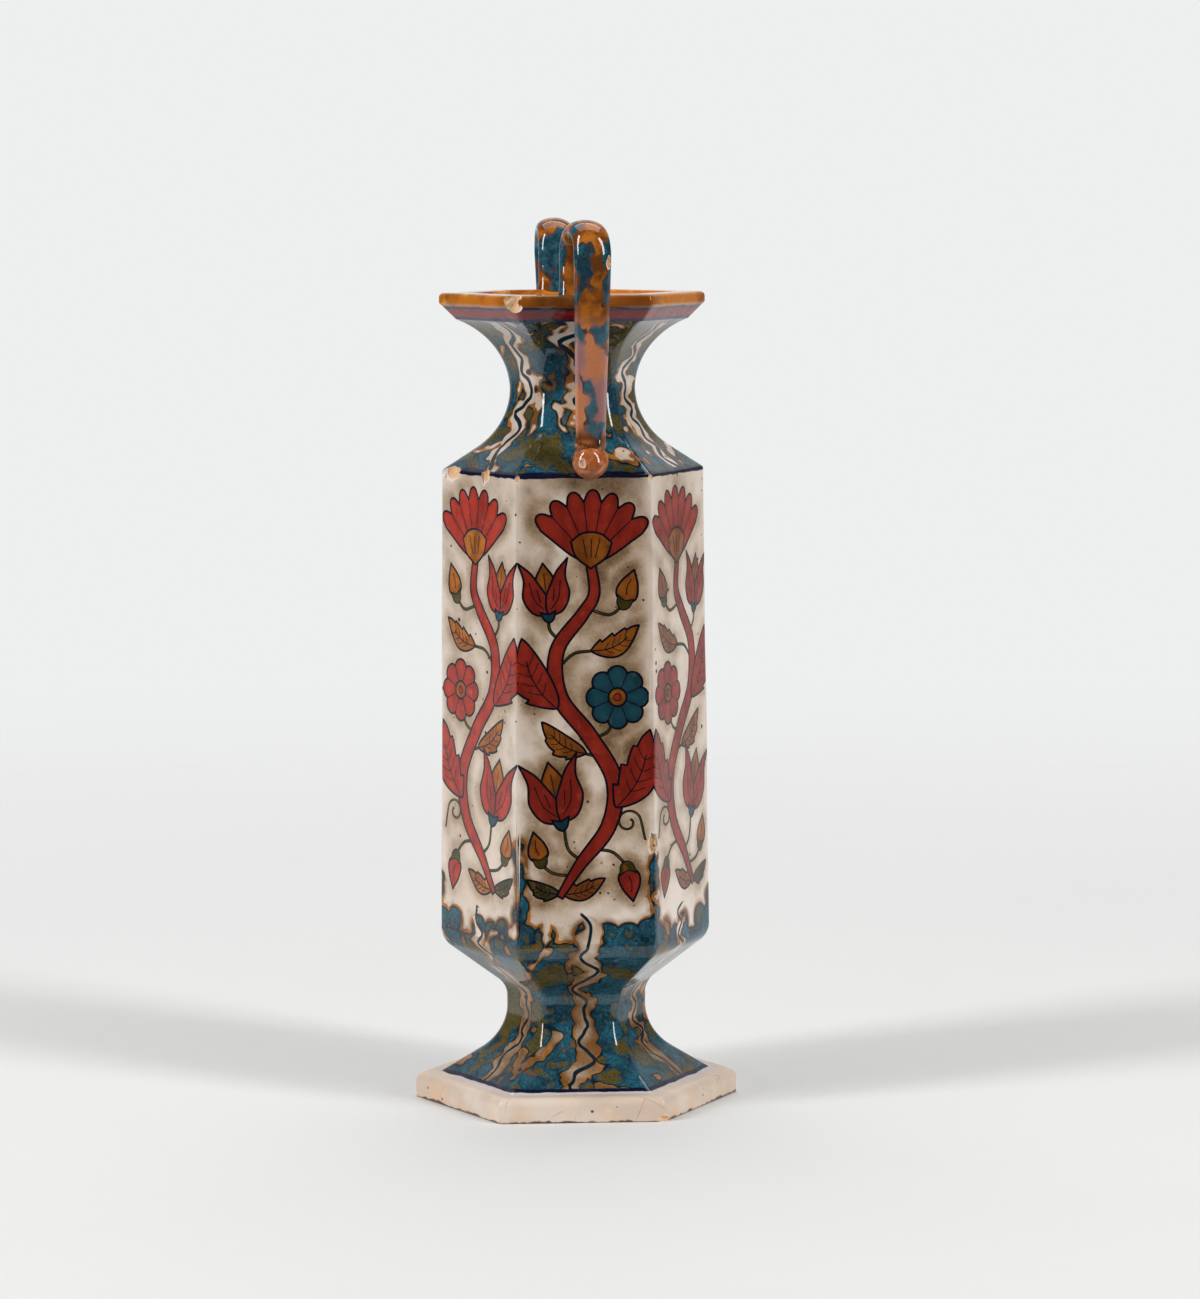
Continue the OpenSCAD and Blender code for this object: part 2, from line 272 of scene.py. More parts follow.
class Glaze:
    """One material's node tree, with short calls for the nodes used here."""

    def __init__(self, name, roughness, coat=0.0, coat_roughness=0.05):
        self.material = bpy.data.materials.new(name)
        self.material.use_nodes = True
        self.tree = self.material.node_tree
        self.shader = self.tree.nodes["Principled BSDF"]
        finish = {"Roughness": roughness, "Coat Weight": coat, "Coat Roughness": coat_roughness,
                  "Coat IOR": GLAZE_IOR, "Specular IOR Level": 0.0 if coat > 0.5 else 0.5}
        for socket, value in finish.items():
            self.shader.inputs[socket].default_value = value
        self.where = self.field("TexCoord", output="Object")

    def node(self, kind, inputs=(), **settings):
        made = self.tree.nodes.new("ShaderNode" + kind)
        for key, value in settings.items():
            setattr(made, key, value)
        for socket, value in dict(inputs).items():
            self.feed(made.inputs[socket], value)
        return made

    def field(self, kind, inputs=(), output=0, **settings):
        return Field(self, self.node(kind, inputs, **settings).outputs[output])

    def fields(self, kind, inputs):
        return [Field(self, socket) for socket in self.node(kind, inputs).outputs]

    def feed(self, socket, value):
        if isinstance(value, Field):
            self.tree.links.new(value.socket, socket)
        else:
            socket.default_value = value

    @cached_property
    def axes(self):
        """The three coordinates of each place, in metres."""
        return self.fields("SeparateXYZ", {0: self.where})

    @cached_property
    def height(self):
        """Height above the ground, in millimetres."""
        return self.axes[2] * (1 / MM)

    def vector(self, operation, a, b=(0.0, 0.0, 0.0), output=0):
        return self.field("VectorMath", {0: a, 1: b}, output, operation=operation)

    def noise(self, size, where=None, detail=3.0, rough=0.5, output="Fac"):
        """Noise whose waves measure about so many millimetres."""
        inputs = {"Vector": where or self.where, "Scale": 1 / (size * MM),
                  "Detail": detail, "Roughness": rough}
        return self.field("TexNoise", inputs, output)

    def warped(self, size, reach, where=None):
        """Places pushed about by noise waves of a size, as far as the reach."""
        push = self.vector("SUBTRACT", self.noise(size, where, 2.0, output="Color"), (0.5, 0.5, 0.5))
        return self.vector("ADD", where or self.where, self.vector("MULTIPLY", push, [2 * reach * MM] * 3))

    def squeezed(self, share, where=None):
        """Places with their height scaled, so that patterns run up and down."""
        return self.vector("MULTIPLY", where or self.where, (1.0, 1.0, share))

    def level_distance(self, where, size, reach=0.4):
        """Distance in millimetres from the middle level of a slow noise, by its slope."""
        def level(push):
            return self.noise(size, self.vector("ADD", where, push), 1.0)

        here = level((0.0, 0.0, 0.0))
        rises = [level([reach * MM * (i == j) for j in range(3)]) - here for i in range(3)]
        slope = self.vector("LENGTH", self.field("CombineXYZ", dict(enumerate(rises))), output="Value")
        return abs(here - 0.5) * reach / slope.at_least(1e-4)

    def meander(self, bends, step=0.3):
        """Distance in millimetres from a line that winds up each face, by the (size, reach) of its bends."""
        x, y, z = self.axes
        turns = y.reckon("ARCTAN2", x) * (FACES / (2 * math.pi))
        radius = self.vector("LENGTH", self.squeezed(0.0), output="Value")
        off = (turns.reckon("FRACT") - 0.5) * (radius * (2 * math.pi / FACES / MM))

        def sway(lift):
            place = self.field("CombineXYZ", {0: turns.reckon("FLOOR"), 2: z + lift * MM})
            parts = [self.noise(size, place, 0.0).scaled(0.25, 0.75, -reach, reach) for size, reach in bends]
            return reduce(lambda a, b: a + b, parts)

        here = sway(0.0)
        slope = (sway(step) - here) / step
        return abs(off - here) / (slope * slope + 1.0).reckon("SQRT")

    def mix(self, share, a, b, blend="MIX"):
        return self.field("Mix", {"Factor": share, 6: a, 7: b}, 2, data_type="RGBA", blend_type=blend)

    def over(self, colour, *coats):
        """A colour under coats, each given by its share and its colour."""
        for share, coat in coats:
            colour = self.mix(share, colour, coat)
        return colour

    def attribute(self, name):
        return self.field("Attribute", output="Fac", attribute_name=name)

    def speckles(self, size, share, radius):
        """1 inside scattered dots: their spacing, the share of places that have one, and their radius."""
        cells = {"Vector": self.warped(size / 2, size / 12), "Scale": 1 / (size * MM)}
        distance, colour, *_ = self.fields("TexVoronoi", cells)
        lot, swell, _ = self.fields("SeparateColor", {0: colour})
        inside = swell * (radius / size) - distance
        return lot.reckon("LESS_THAN", share) * inside.step(0.0, 0.03)

    def relief(self, *layers):
        """Bump from (height, depth in millimetres) pairs, on the body and on the coat."""
        under = {}
        for height, depth in layers:
            bump = {"Height": height, "Distance": depth * MM, "Strength": 1.0, **under}
            under = {"Normal": self.field("Bump", bump)}
        for socket in ("Normal", "Coat Normal"):
            self.feed(self.shader.inputs[socket], under["Normal"])

    def done(self, colour, roughness=None):
        self.feed(self.shader.inputs["Base Color"], colour)
        if roughness:
            self.feed(self.shader.inputs["Roughness"], roughness)
        return self.material

    def fired(self, colour):
        """The material of glaze that has run and set, with long waves and a fine orange peel."""
        self.relief((self.noise(9, detail=1.0), 0.25), (self.noise(1.2), 0.018))
        return self.done(colour)


# Materials


def srgb(r, g, b):
    """A colour given as it looks on screen, 0 to 255."""
    def linear(v):
        v /= 255
        return v / 12.92 if v <= 0.04045 else ((v + 0.055) / 1.055) ** 2.4
    return (linear(r), linear(g), linear(b), 1.0)


CREAM, CREAM_PALE, CREAM_DULL = srgb(238, 220, 204), srgb(246, 232, 220), srgb(204, 184, 166)
STAIN_AND_SHADE_BROWN, SPECK, LILAC = srgb(132, 110, 84), srgb(70, 42, 22), srgb(206, 200, 208)
TEAL, TEAL_DARK = srgb(40, 100, 120), srgb(22, 66, 82)
TEAL_DEEP, TEAL_DUSTY = srgb(10, 36, 48), srgb(92, 130, 142)
OLIVE, OLIVE_DARK, OCHRE, UMBER = srgb(98, 86, 34), srgb(60, 62, 20), srgb(182, 116, 46), srgb(126, 80, 34)
AMBER, AMBER_PALE, AMBER_DARK = srgb(206, 122, 34), srgb(220, 156, 62), srgb(140, 74, 20)
NAVY, NAVY_DARK, INK = srgb(28, 40, 82), srgb(14, 20, 46), srgb(8, 10, 24)
RED, RED_DARK, RED_PALE = srgb(198, 62, 42), srgb(150, 40, 28), srgb(208, 86, 64)
MAROON, MAROON_PALE = srgb(140, 14, 12), srgb(156, 38, 36)
STRAP_AMBER, STRAP_BROWN = srgb(190, 110, 34), srgb(116, 62, 20)
BALL_AMBER, BALL_BROWN = srgb(202, 122, 62), srgb(176, 96, 46)
ROSE, HEATHER, PAINTED_SHADE_TINT = srgb(224, 144, 100), srgb(128, 116, 142), srgb(196, 188, 182)
CLAY, CLAY_PALE, WHITE_GLAZE = srgb(238, 186, 138), srgb(248, 216, 182), srgb(244, 238, 228)
BISCUIT, BISCUIT_PALE, DARK_BROWN = srgb(216, 193, 173), srgb(230, 213, 197), srgb(92, 60, 38)
PAPER, PAPER_PALE, BACKDROP = srgb(227, 227, 226), srgb(233, 233, 232), srgb(238, 239, 239)

# Bends of the bare streams and of the veins in them, and how far from a stream the glaze is followed
STREAM_BENDS = ((17, 3.0), (6.4, 3.2))
VEIN_BENDS = ((17, 3.0), (6.4, 4.2), (3.2, 0.6))
STREAM_REACH = 9.0
# Heights between which the ground gets dirty towards the foot
DIRT_TOP, DIRT_FULL = 60, 30


def cream_ground(glaze, stain_and_shade):
    """Colour of the pale ground, with its dull clouds, stains and specks; on the panels the stains also hold
    painted shade.
    """
    clouded = glaze.over(
        CREAM_PALE,
        (glaze.noise(24).step(0.35, 0.7), CREAM),
        (glaze.noise(13, detail=5.0).step(0.5, 0.78), CREAM_DULL))
    ragged = stain_and_shade * glaze.noise(1.0, detail=4.0, rough=0.7).scaled(0.3, 0.7, 0.7, 1.1)
    stain_and_shade_tint = glaze.field("Gamma", {"Color": STAIN_AND_SHADE_BROWN, "Gamma": ragged})
    fine = glaze.speckles(2.2, 0.3, 0.5) * stain_and_shade.step(0.1, 0.45)
    return glaze.over(
        glaze.mix(1.0, clouded, stain_and_shade_tint, "MULTIPLY"), (glaze.speckles(4.6, 0.5, 0.8), SPECK), (fine, SPECK))


def mottled(glaze, ground, reach=None):
    """Teal and olive pools with amber margins on a ground; streams of bare ground carry a thin vein.

    The reach is the distance inside the edge of the run glaze, where the glaze has one.
    """
    def from_foot(low, high):
        """A value on the bowl and foot that changes to another on the neck."""
        return glaze.height.scaled(BODY_Z, SHOULDER_Z, low, high)

    def at_neck(low, high):
        """A value below the neck that changes to another on it."""
        return glaze.height.scaled(SHOULDER_Z - 10, SHOULDER_Z, low, high)

    vein = (glaze.meander(VEIN_BENDS) - at_neck(0.55, 0.8)).step(0.08, -0.08)
    where = glaze.squeezed(0.5, glaze.warped(6.5, 1.7, glaze.warped(26, 4.0)))
    islands = glaze.level_distance(where, 30) + from_foot(2.4, 2.9)
    width = from_foot(0.92, 1.14) * glaze.noise(15, detail=1.0).scaled(0.36, 0.66, 0.8, 3.3)
    lobes = glaze.noise(6.0, detail=1.0).scaled(0.3, 0.7, -1.6, 1.6)
    inside = glaze.meander(STREAM_BENDS).at_most(STREAM_REACH).at_most(islands) + lobes - width
    if reach:
        inside = inside.at_most(reach)
        vein = vein * reach.step(-3.0, -2.0)

    tone = glaze.noise(8, detail=4.0)
    thick = glaze.noise(12) + inside.scaled(0.0, 5.0, -0.08, 0.04) - from_foot(0.03, 0.0)
    pool = glaze.over(
        TEAL,
        (tone.step(0.38, 0.64), TEAL_DARK),
        (glaze.noise(1.3, detail=5.0, rough=0.7).step(0.48, 0.7) * 0.6, TEAL_DUSTY),
        (thick.step(0.47, 0.57), OLIVE),
        (abs(thick - 0.49).step(0.04, 0.0) * 0.5, TEAL_DEEP),
        (glaze.noise(0.8, detail=4.0, rough=0.75).scaled(0.42, 0.66, 0.0, 0.8), TEAL_DEEP),
        (glaze.noise(6, detail=5.0).step(0.62, 0.74), UMBER))
    spread = inside.step(glaze.height.scaled(DIRT_TOP, DIRT_FULL, -1.8, -4.5), 0.3)
    halo = spread * at_neck(1.0, 0.35) * tone.scaled(0.38, 0.62, 0.1, 0.9)
    margin = glaze.mix(tone.step(0.35, 0.6), OCHRE, UMBER)
    deep = inside - glaze.noise(9, detail=2.0).scaled(0.4, 0.65, 0.0, 0.9)
    return glaze.over(
        ground,
        (halo, UMBER),
        (inside.step(0.0, 0.3), margin),
        (deep.step(0.4, 0.6), TEAL_DEEP),
        (deep.step(0.85, 1.5), pool),
        (vein, TEAL_DEEP))


def mottled_glaze():
    glaze = Glaze("mottled_glaze", 0.3, coat=1.0, coat_roughness=0.045)
    most = glaze.height.scaled(BODY_Z, SHOULDER_Z, 0.6, 0.25)
    dirty = glaze.height.scaled(DIRT_TOP, DIRT_FULL, 0.0, 0.5) + glaze.noise(11).scaled(0.42, 0.7, 0.05, most)
    z = glaze.height + glaze.noise(8).scaled(0.3, 0.7, -0.2, 0.2)
    brush = glaze.noise(9, detail=2.0).scaled(0.3, 0.7, -0.35, 0.45)
    shoulder = abs(z - (SHOULDER_Z + 0.1)) + brush
    return glaze.fired(glaze.over(
        mottled(glaze, cream_ground(glaze, dirty)),
        (z.step(PLINTH_H + 1.5, PLINTH_H + 1.2), NAVY_DARK),
        (z.step(PLINTH_H + 0.5, PLINTH_H + 0.35), LILAC),
        (shoulder.step(1.05, 0.75), NAVY_DARK)))


def panel_ground():
    glaze = Glaze("panel_ground", 0.3, coat=1.0)
    # The stain attribute carries the face's stains and its painted shade
    stain_and_shade = glaze.attribute("stain_and_shade") * glaze.noise(19).scaled(0.36, 0.64, 0.08, 1.1)
    colour = mottled(glaze, cream_ground(glaze, stain_and_shade), glaze.attribute("cover"))
    z = glaze.height + glaze.noise(6).scaled(0.3, 0.7, -0.35, 0.35)
    return glaze.fired(glaze.over(colour, (z.step(SHOULDER_Z - 1.05, SHOULDER_Z - 0.75), NAVY_DARK)))


def brushed_paint(name, colour, dark, pale):
    """Painted colour under the glaze, streaked by the brush, pooled along the drawn lines, and darkened on
    each face as painted shade.
    """
    glaze = Glaze(name, 0.32, coat=1.0)
    pooled = glaze.attribute("pooled") * glaze.noise(4).scaled(0.35, 0.65, 0.15, 0.95)
    made = glaze.over(
        colour,
        (glaze.noise(6, glaze.squeezed(0.35), detail=4.0).step(0.4, 0.72), dark),
        (glaze.noise(3.5, detail=4.0).step(0.56, 0.78), pale),
        (glaze.noise(0.7, rough=0.7).step(0.62, 0.85), dark),
        (pooled, dark))
    # Painted shade: the tone attribute multiplies the paint darker on faces that get less light
    return glaze.fired(glaze.mix(glaze.attribute("tone"), made, PAINTED_SHADE_TINT, "MULTIPLY"))


def rim_glaze():
    """Amber lip over a maroon band between two dark lines, with painted shade darkening the lip's front."""
    glaze = Glaze("rim_glaze", 0.28, coat=1.0, coat_roughness=0.04)
    z = glaze.height + glaze.noise(7).scaled(0.3, 0.7, -0.25, 0.25)
    amber = glaze.over(
        AMBER,
        (glaze.noise(14).step(0.46, 0.7), AMBER_DARK),
        (glaze.noise(5, detail=4.0).step(0.52, 0.75), AMBER_PALE),
        # Painted shade: the amber darkens towards the front of the lip, on the -Y side
        (glaze.axes[1].scaled(-28 * MM, -RIM_A * MM, 0.0, 0.75), AMBER_DARK))
    band = glaze.mix(glaze.noise(5, detail=4.0).step(0.42, 0.7), MAROON, MAROON_PALE)
    return glaze.fired(glaze.over(
        NAVY,
        (z.step(BAND_Z + 0.9, BAND_Z + 1.15), band),
        (z.step(LIP_Z - 0.75, LIP_Z - 0.5), NAVY),
        (z.step(LIP_Z + 0.15, LIP_Z + 0.4), amber)))


def strap_glaze(name, teal_share, fresh, burnt):
    """Amber glaze over the arch, flowed teal patches, and a rosy lower limb under a heather veil."""
    glaze = Glaze(name, 0.26, coat=1.0, coat_roughness=0.035)
    past_rim, past_shoulder = glaze.height - RIM_Z, glaze.height - SHOULDER_Z
    rosy = past_rim.step(-4, -14) * past_shoulder.step(11, 15)
    tone = glaze.noise(6, detail=4.0)
    spots = glaze.noise(2.4, detail=4.0).scaled(0.46, 0.66, 0.0, 0.75)
    veil = glaze.noise(8, glaze.squeezed(0.5), 4.0).step(0.43, 0.6)
    amber = glaze.over(
        fresh,
        (tone.step(0.36, 0.6), burnt),
        (rosy * 0.9, ROSE),
        (past_shoulder.step(18, 12), burnt),
        (spots * past_shoulder.step(13, 10), ROSE),
        (veil * rosy * 0.55, HEATHER))
    teal = glaze.over(
        TEAL_DARK,
        (glaze.noise(3, detail=5.0).step(0.42, 0.6), TEAL),
        (glaze.noise(1.0, detail=4.0, rough=0.7).step(0.5, 0.7), TEAL_DEEP),
        (rosy * 0.45, TEAL_DUSTY))

    cuff = past_shoulder.step(29, 22) * past_shoulder.step(14, 18) * 0.09
    arch_bare, limb_bare = past_rim.scaled(14, 20, 0.0, 0.16), past_rim.scaled(-4, -18, 0.0, 0.12)
    flow = glaze.noise(6.5, glaze.squeezed(0.55, glaze.warped(8, 2.4)), detail=1.5) + cuff
    flow = flow - arch_bare - limb_bare + past_rim.scaled(4, 12, 0.0, 0.1)
    limit = 0.5 + (0.5 - teal_share) * 0.5
    seam = flow.step(limit - 0.03, limit) * tone.scaled(0.42, 0.58, 0.9, 0.1)
    grain = glaze.noise(0.7, detail=4.0, rough=0.7).scaled(0.5, 0.8, 0.0, 0.3)
    return glaze.fired(glaze.over(
        amber, (seam, TEAL_DEEP), (flow.step(limit - 0.02, limit + 0.07), teal), (grain, AMBER_DARK)))


def inside_glaze():
    glaze = Glaze("inside_glaze", 0.3, coat=0.8)
    return glaze.fired(cream_ground(glaze, glaze.noise(30).scaled(0.4, 0.7, 0.0, 0.5)))


def bare_clay():
    """Biscuit ware with a thin wash, rubbed, and darker along its lower edge."""
    glaze = Glaze("bare_clay", 0.45, coat=0.25, coat_roughness=0.25)
    ochre = glaze.noise(11, detail=4.0).step(0.45, 0.75) * glaze.height.scaled(0.5, 6.0, 0.85, 0.2)
    cells = {"Vector": glaze.warped(6, 1.5), "Scale": 1 / (17 * MM)}
    cracks = glaze.field("TexVoronoi", cells, "Distance", feature="DISTANCE_TO_EDGE").step(0.012, 0.004)
    below = glaze.noise(5, detail=5.0).scaled(0.42, 0.7, 0.25, 1.35) - glaze.height
    grain = glaze.noise(1.4, detail=5.0, rough=0.65)
    glaze.relief((glaze.noise(8), 0.35), (grain, 0.07))
    colour = glaze.over(
        BISCUIT_PALE,
        (glaze.noise(20).step(0.35, 0.65), BISCUIT),
        (glaze.noise(7, detail=5.0).step(0.6, 0.9), CLAY_PALE),
        (ochre, CLAY),
        (cracks * glaze.noise(9).scaled(0.48, 0.62, 0.0, 0.45), UMBER),
        # A dark line along the lower edge, where the plinth meets the floor
        (below.step(-0.3, 0.3), DARK_BROWN),
        (glaze.speckles(4, 0.35, 0.7), DARK_BROWN))
    return glaze.done(colour, grain.scaled(0.3, 0.7, 0.32, 0.6))


def chipped_clay():
    """Broken body of the ware where glaze has been knocked off."""
    glaze = Glaze("chipped_clay", 0.85)
    grain = glaze.noise(0.9, detail=5.0, rough=0.7)
    glaze.relief((grain, 0.2))
    return glaze.done(glaze.over(
        CLAY, (grain.step(0.35, 0.7), CLAY_PALE), (glaze.speckles(1.4, 0.25, 0.4), DARK_BROWN)))


def chip_edge():
    """White lip of thick glaze round a chip."""
    glaze = Glaze("chip_edge", 0.4, coat=0.6, coat_roughness=0.1)
    grain = glaze.noise(1.1, detail=4.0)
    glaze.relief((grain, 0.06))
    return glaze.done(glaze.over(WHITE_GLAZE, (grain.step(0.4, 0.7), CREAM_PALE)))


MOTTLED, RIM_GLAZE, INSIDE = mottled_glaze(), rim_glaze(), inside_glaze()
STRAP = strap_glaze("strap_glaze", 0.53, STRAP_AMBER, STRAP_BROWN)
BALL = strap_glaze("ball_glaze", 0.05, BALL_AMBER, BALL_BROWN)
BISCUIT_WARE, CHIPPED, CHIP_EDGE = bare_clay(), chipped_clay(), chip_edge()
PAINTS = [
    panel_ground(),
    brushed_paint("paint_navy", NAVY_DARK, INK, NAVY),
    brushed_paint("paint_red", RED, RED_DARK, RED_PALE),
    brushed_paint("paint_amber", AMBER, AMBER_DARK, OLIVE),
    brushed_paint("paint_teal", TEAL, TEAL_DARK, TEAL_DUSTY),
    brushed_paint("paint_olive", OLIVE, OLIVE_DARK, AMBER),
]
NAVY_SLOT, RED_SLOT, AMBER_SLOT, TEAL_SLOT, OLIVE_SLOT = range(1, len(PAINTS))

# Painted sprays: shapes on a face, as millimetres right of its middle and above its foot

PAINT_STEP = 0.55
OUTLINE, VEIN, STALK = 0.74, 0.36, 0.85
# Where a shape stands, how far it is turned, and its scale
HERE = ((0, 0), 0, 1.0)


def curve(points, step=PAINT_STEP):
    """Dense smooth line through points."""
    p = np.array(points, float)
    p = np.vstack([2 * p[0] - p[1], p, 2 * p[-1] - p[-2]])
    made = [p[1]]
    for a, b, c, d in zip(p, p[1:], p[2:], p[3:]):
        parts = max(2, math.ceil(np.linalg.norm(c - b) / step))
        for t in np.arange(1, parts + 1) / parts:
            bend = (2 * a - 5 * b + 4 * c - d) * t ** 2 + (3 * b - a - 3 * c + d) * t ** 3
            made.append(0.5 * (2 * b + (c - a) * t + bend))
    return np.array(made)


def outline(*runs):
    """Closed line of smooth runs that meet in points."""
    return np.vstack([curve(run)[:-1] for run in runs])


def mirrored(points):
    return np.array(points, float)[::-1] * (-1, 1)


def ray(degrees):
    """Direction at an angle to the right of straight up."""
    return np.array(polar(1.0, degrees))[::-1]


class Spray:
    """Painted shapes of one face, in the order in which they are laid on."""

    def __init__(self, flip):
        self.flip = -1 if flip else 1
        self.layers = []

    def placed(self, points, at, turn, scale):
        c, s = polar(1.0, turn)
        return (np.array(points, float) * scale @ np.array([[c, s], [-s, c]]) + at) * (self.flip, 1)

    def fill(self, points, slot, place=HERE, line=OUTLINE):
        self.layers.append((self.placed(points, *place), slot, None, line))

    def stroke(self, points, width=VEIN, place=HERE, slot=NAVY_SLOT, line=0.0):
        self.layers.append((self.placed(curve(points), *place), slot, width, line))

    def ribbon(self, points, widths, slot):
        """A stem that swells and tapers along its way."""
        p = curve(points)
        way = np.gradient(p, axis=0)
        side = np.stack([-way[:, 1], way[:, 0]], 1) / np.linalg.norm(way, axis=1)[:, None]
        half = np.interp(np.linspace(0, 1, len(p)), np.linspace(0, 1, len(widths)), widths)[:, None] / 2
        self.fill(np.vstack([p + side * half, (p - side * half)[::-1]]), slot)

    def tulip(self, *place):
        side = outline([(0, 0), (-5.2, 1.8), (-8.0, 7.2), (-7.2, 13.5), (-8.6, 19.5)],
                       [(-8.6, 19.5), (-4.6, 15.6), (-2.0, 11.2), (0, 7.6)], [(0, 7.6), (0.5, 3.6), (0, 0)])
        heart = outline([(-3.6, 7), (-3.2, 13), (0, 18.6)],
                        [(0, 18.6), (3.2, 13), (3.6, 7), (0, 3.5), (-3.6, 7)])
        cup = outline([(-2.6, 1.8), (-1.6, -0.9), (0, -2.0), (1.6, -0.9), (2.6, 1.8)],
                      [(2.6, 1.8), (0, 0.9), (-2.6, 1.8)])
        self.fill(heart, AMBER_SLOT, place)
        self.stroke([(0, 9), (0, 15)], VEIN, place)
        for petal in (side, mirrored(side)):
            self.fill(petal, RED_SLOT, place)
        for s in (-1, 1):
            self.stroke([(s * 1.2, 2.6), (s * 4.2, 6.4), (s * 5.4, 12.4)], VEIN, place)
            self.stroke([(s * 2.2, 5.4), (s * 3.0, 9.6)], VEIN, place)
        self.fill(cup, TEAL_SLOT, place)

    def carnation(self, *place, teeth=7, reach=19.5, notch=16.2, spread=62):
        centre = np.array((0, 1.5))
        runs = [[(0, 0), (-5.5, 2.6), (-11.5, 7.0), centre + notch * ray(-spread)]]
        for i in range(teeth):
            rays = [ray(-spread + 2 * spread * (i + t) / teeth) for t in (0, 0.25, 0.5, 0.75, 1)]
            radii = (notch, reach - 0.8, reach, reach - 0.8, notch)
            runs.append([centre + r * way for r, way in zip(radii, rays)])
        runs.append([runs[-1][-1], (11.5, 7.0), (5.5, 2.6), (0, 0)])
        self.fill(outline(*runs), RED_SLOT, place)
        for i in range(1, teeth):
            way = ray(-spread + 2 * spread * i / teeth)
            self.stroke([centre + r * way for r in (7.6, 11, notch - 0.4)], VEIN, place)
        fan = outline([(0, -1), (-4.2, 2.2), (-5.8, 6.4)],
                      [(-5.8, 6.4), (-3, 8.6), (0, 9.2), (3, 8.6), (5.8, 6.4)],
                      [(5.8, 6.4), (4.2, 2.2), (0, -1)])
        self.fill(fan, AMBER_SLOT, place)
        for s in (-2.4, 0, 2.4):
            self.stroke([(s * 0.5, 2), (s, 7.2)], VEIN, place)

    def rosette(self, at, slot, radius, petals=8, heart=3.0):
        place = (at, 0, 1.0)
        around = np.linspace(0, 2 * math.pi, 160, endpoint=False)
        ring = np.stack([np.cos(around), np.sin(around)], 1)
        scallops = 0.8 + 0.2 * np.abs(np.cos(petals / 2 * around)) ** 0.6
        self.fill(ring * (radius * scallops)[:, None], slot, place)
        for i in range(petals):
            way = np.array(polar(1.0, 360 * (i + 0.5) / petals))
            self.stroke([r * way for r in (heart + 0.2, 0.6 * radius, 0.78 * radius)], VEIN, place)
        self.fill(ring[::3] * heart, AMBER_SLOT, place)
        self.fill(ring[::3] * heart * 0.4, RED_SLOT, place, VEIN)

    def leaf(self, at, turn, slot, length, width, bend, teeth=4):
        place = (at, turn, 1.0)
        t = np.linspace(0, 1, 60)
        middle = np.stack([bend * np.sin(math.pi * t) * (1 - 0.4 * t), length * t], 1)
        half = width / 2 * np.sin(math.pi * t ** 0.8) ** 0.85
        saw = 1 + 0.32 * ((teeth * t) % 1 - 0.5) * (t < 0.9)
        left = middle - np.stack([half * saw, 0 * t], 1)
        right = middle + np.stack([half * 0.9, 0 * t], 1)
        self.fill(np.vstack([left, right[-2:0:-1]]), slot, place)
        self.stroke(middle[2:50:8], VEIN * 1.2, place)
        for i in (14, 22, 30, 38):
            for s in (-0.62, 0.62):
                tip = middle[i + 7] + (half[i] * s, 0)
                self.stroke([middle[i], (middle[i] + tip) / 2 + (0, -0.3), tip], VEIN * 0.8, place)

    def bud(self, at, turn, slot, scale):
        place = (at, turn, scale)
        drop = outline([(0, 0), (-3.0, 2.8), (-2.7, 6.4), (0, 10.8)],
                       [(0, 10.8), (2.4, 6.6), (2.9, 2.8), (0, 0)])
        cup = outline([(-2.4, 2.6), (-1.8, -0.2), (0, -1.3), (1.8, -0.2), (2.4, 2.6)],
                      [(2.4, 2.6), (0, 1.6), (-2.4, 2.6)])
        self.fill(drop, slot, place)
        self.stroke([(0, 3.2), (-0.5, 5.6), (0, 8)], VEIN, place)
        self.fill(cup, OLIVE_SLOT, place, 0.42)

    def curl(self, at, size):
        t = np.linspace(0, 1, 14)
        angle = 1.15 * 2 * math.pi * t
        r = size * (1 - 0.72 * t)
        spiral = np.stack([r * np.cos(angle) - size, r * np.sin(angle)], 1)
        self.stroke(np.vstack([[(1.2, -size * 1.3)], spiral]), STALK * 0.8, (at, 0, 1.0), OLIVE_SLOT, 0.22)


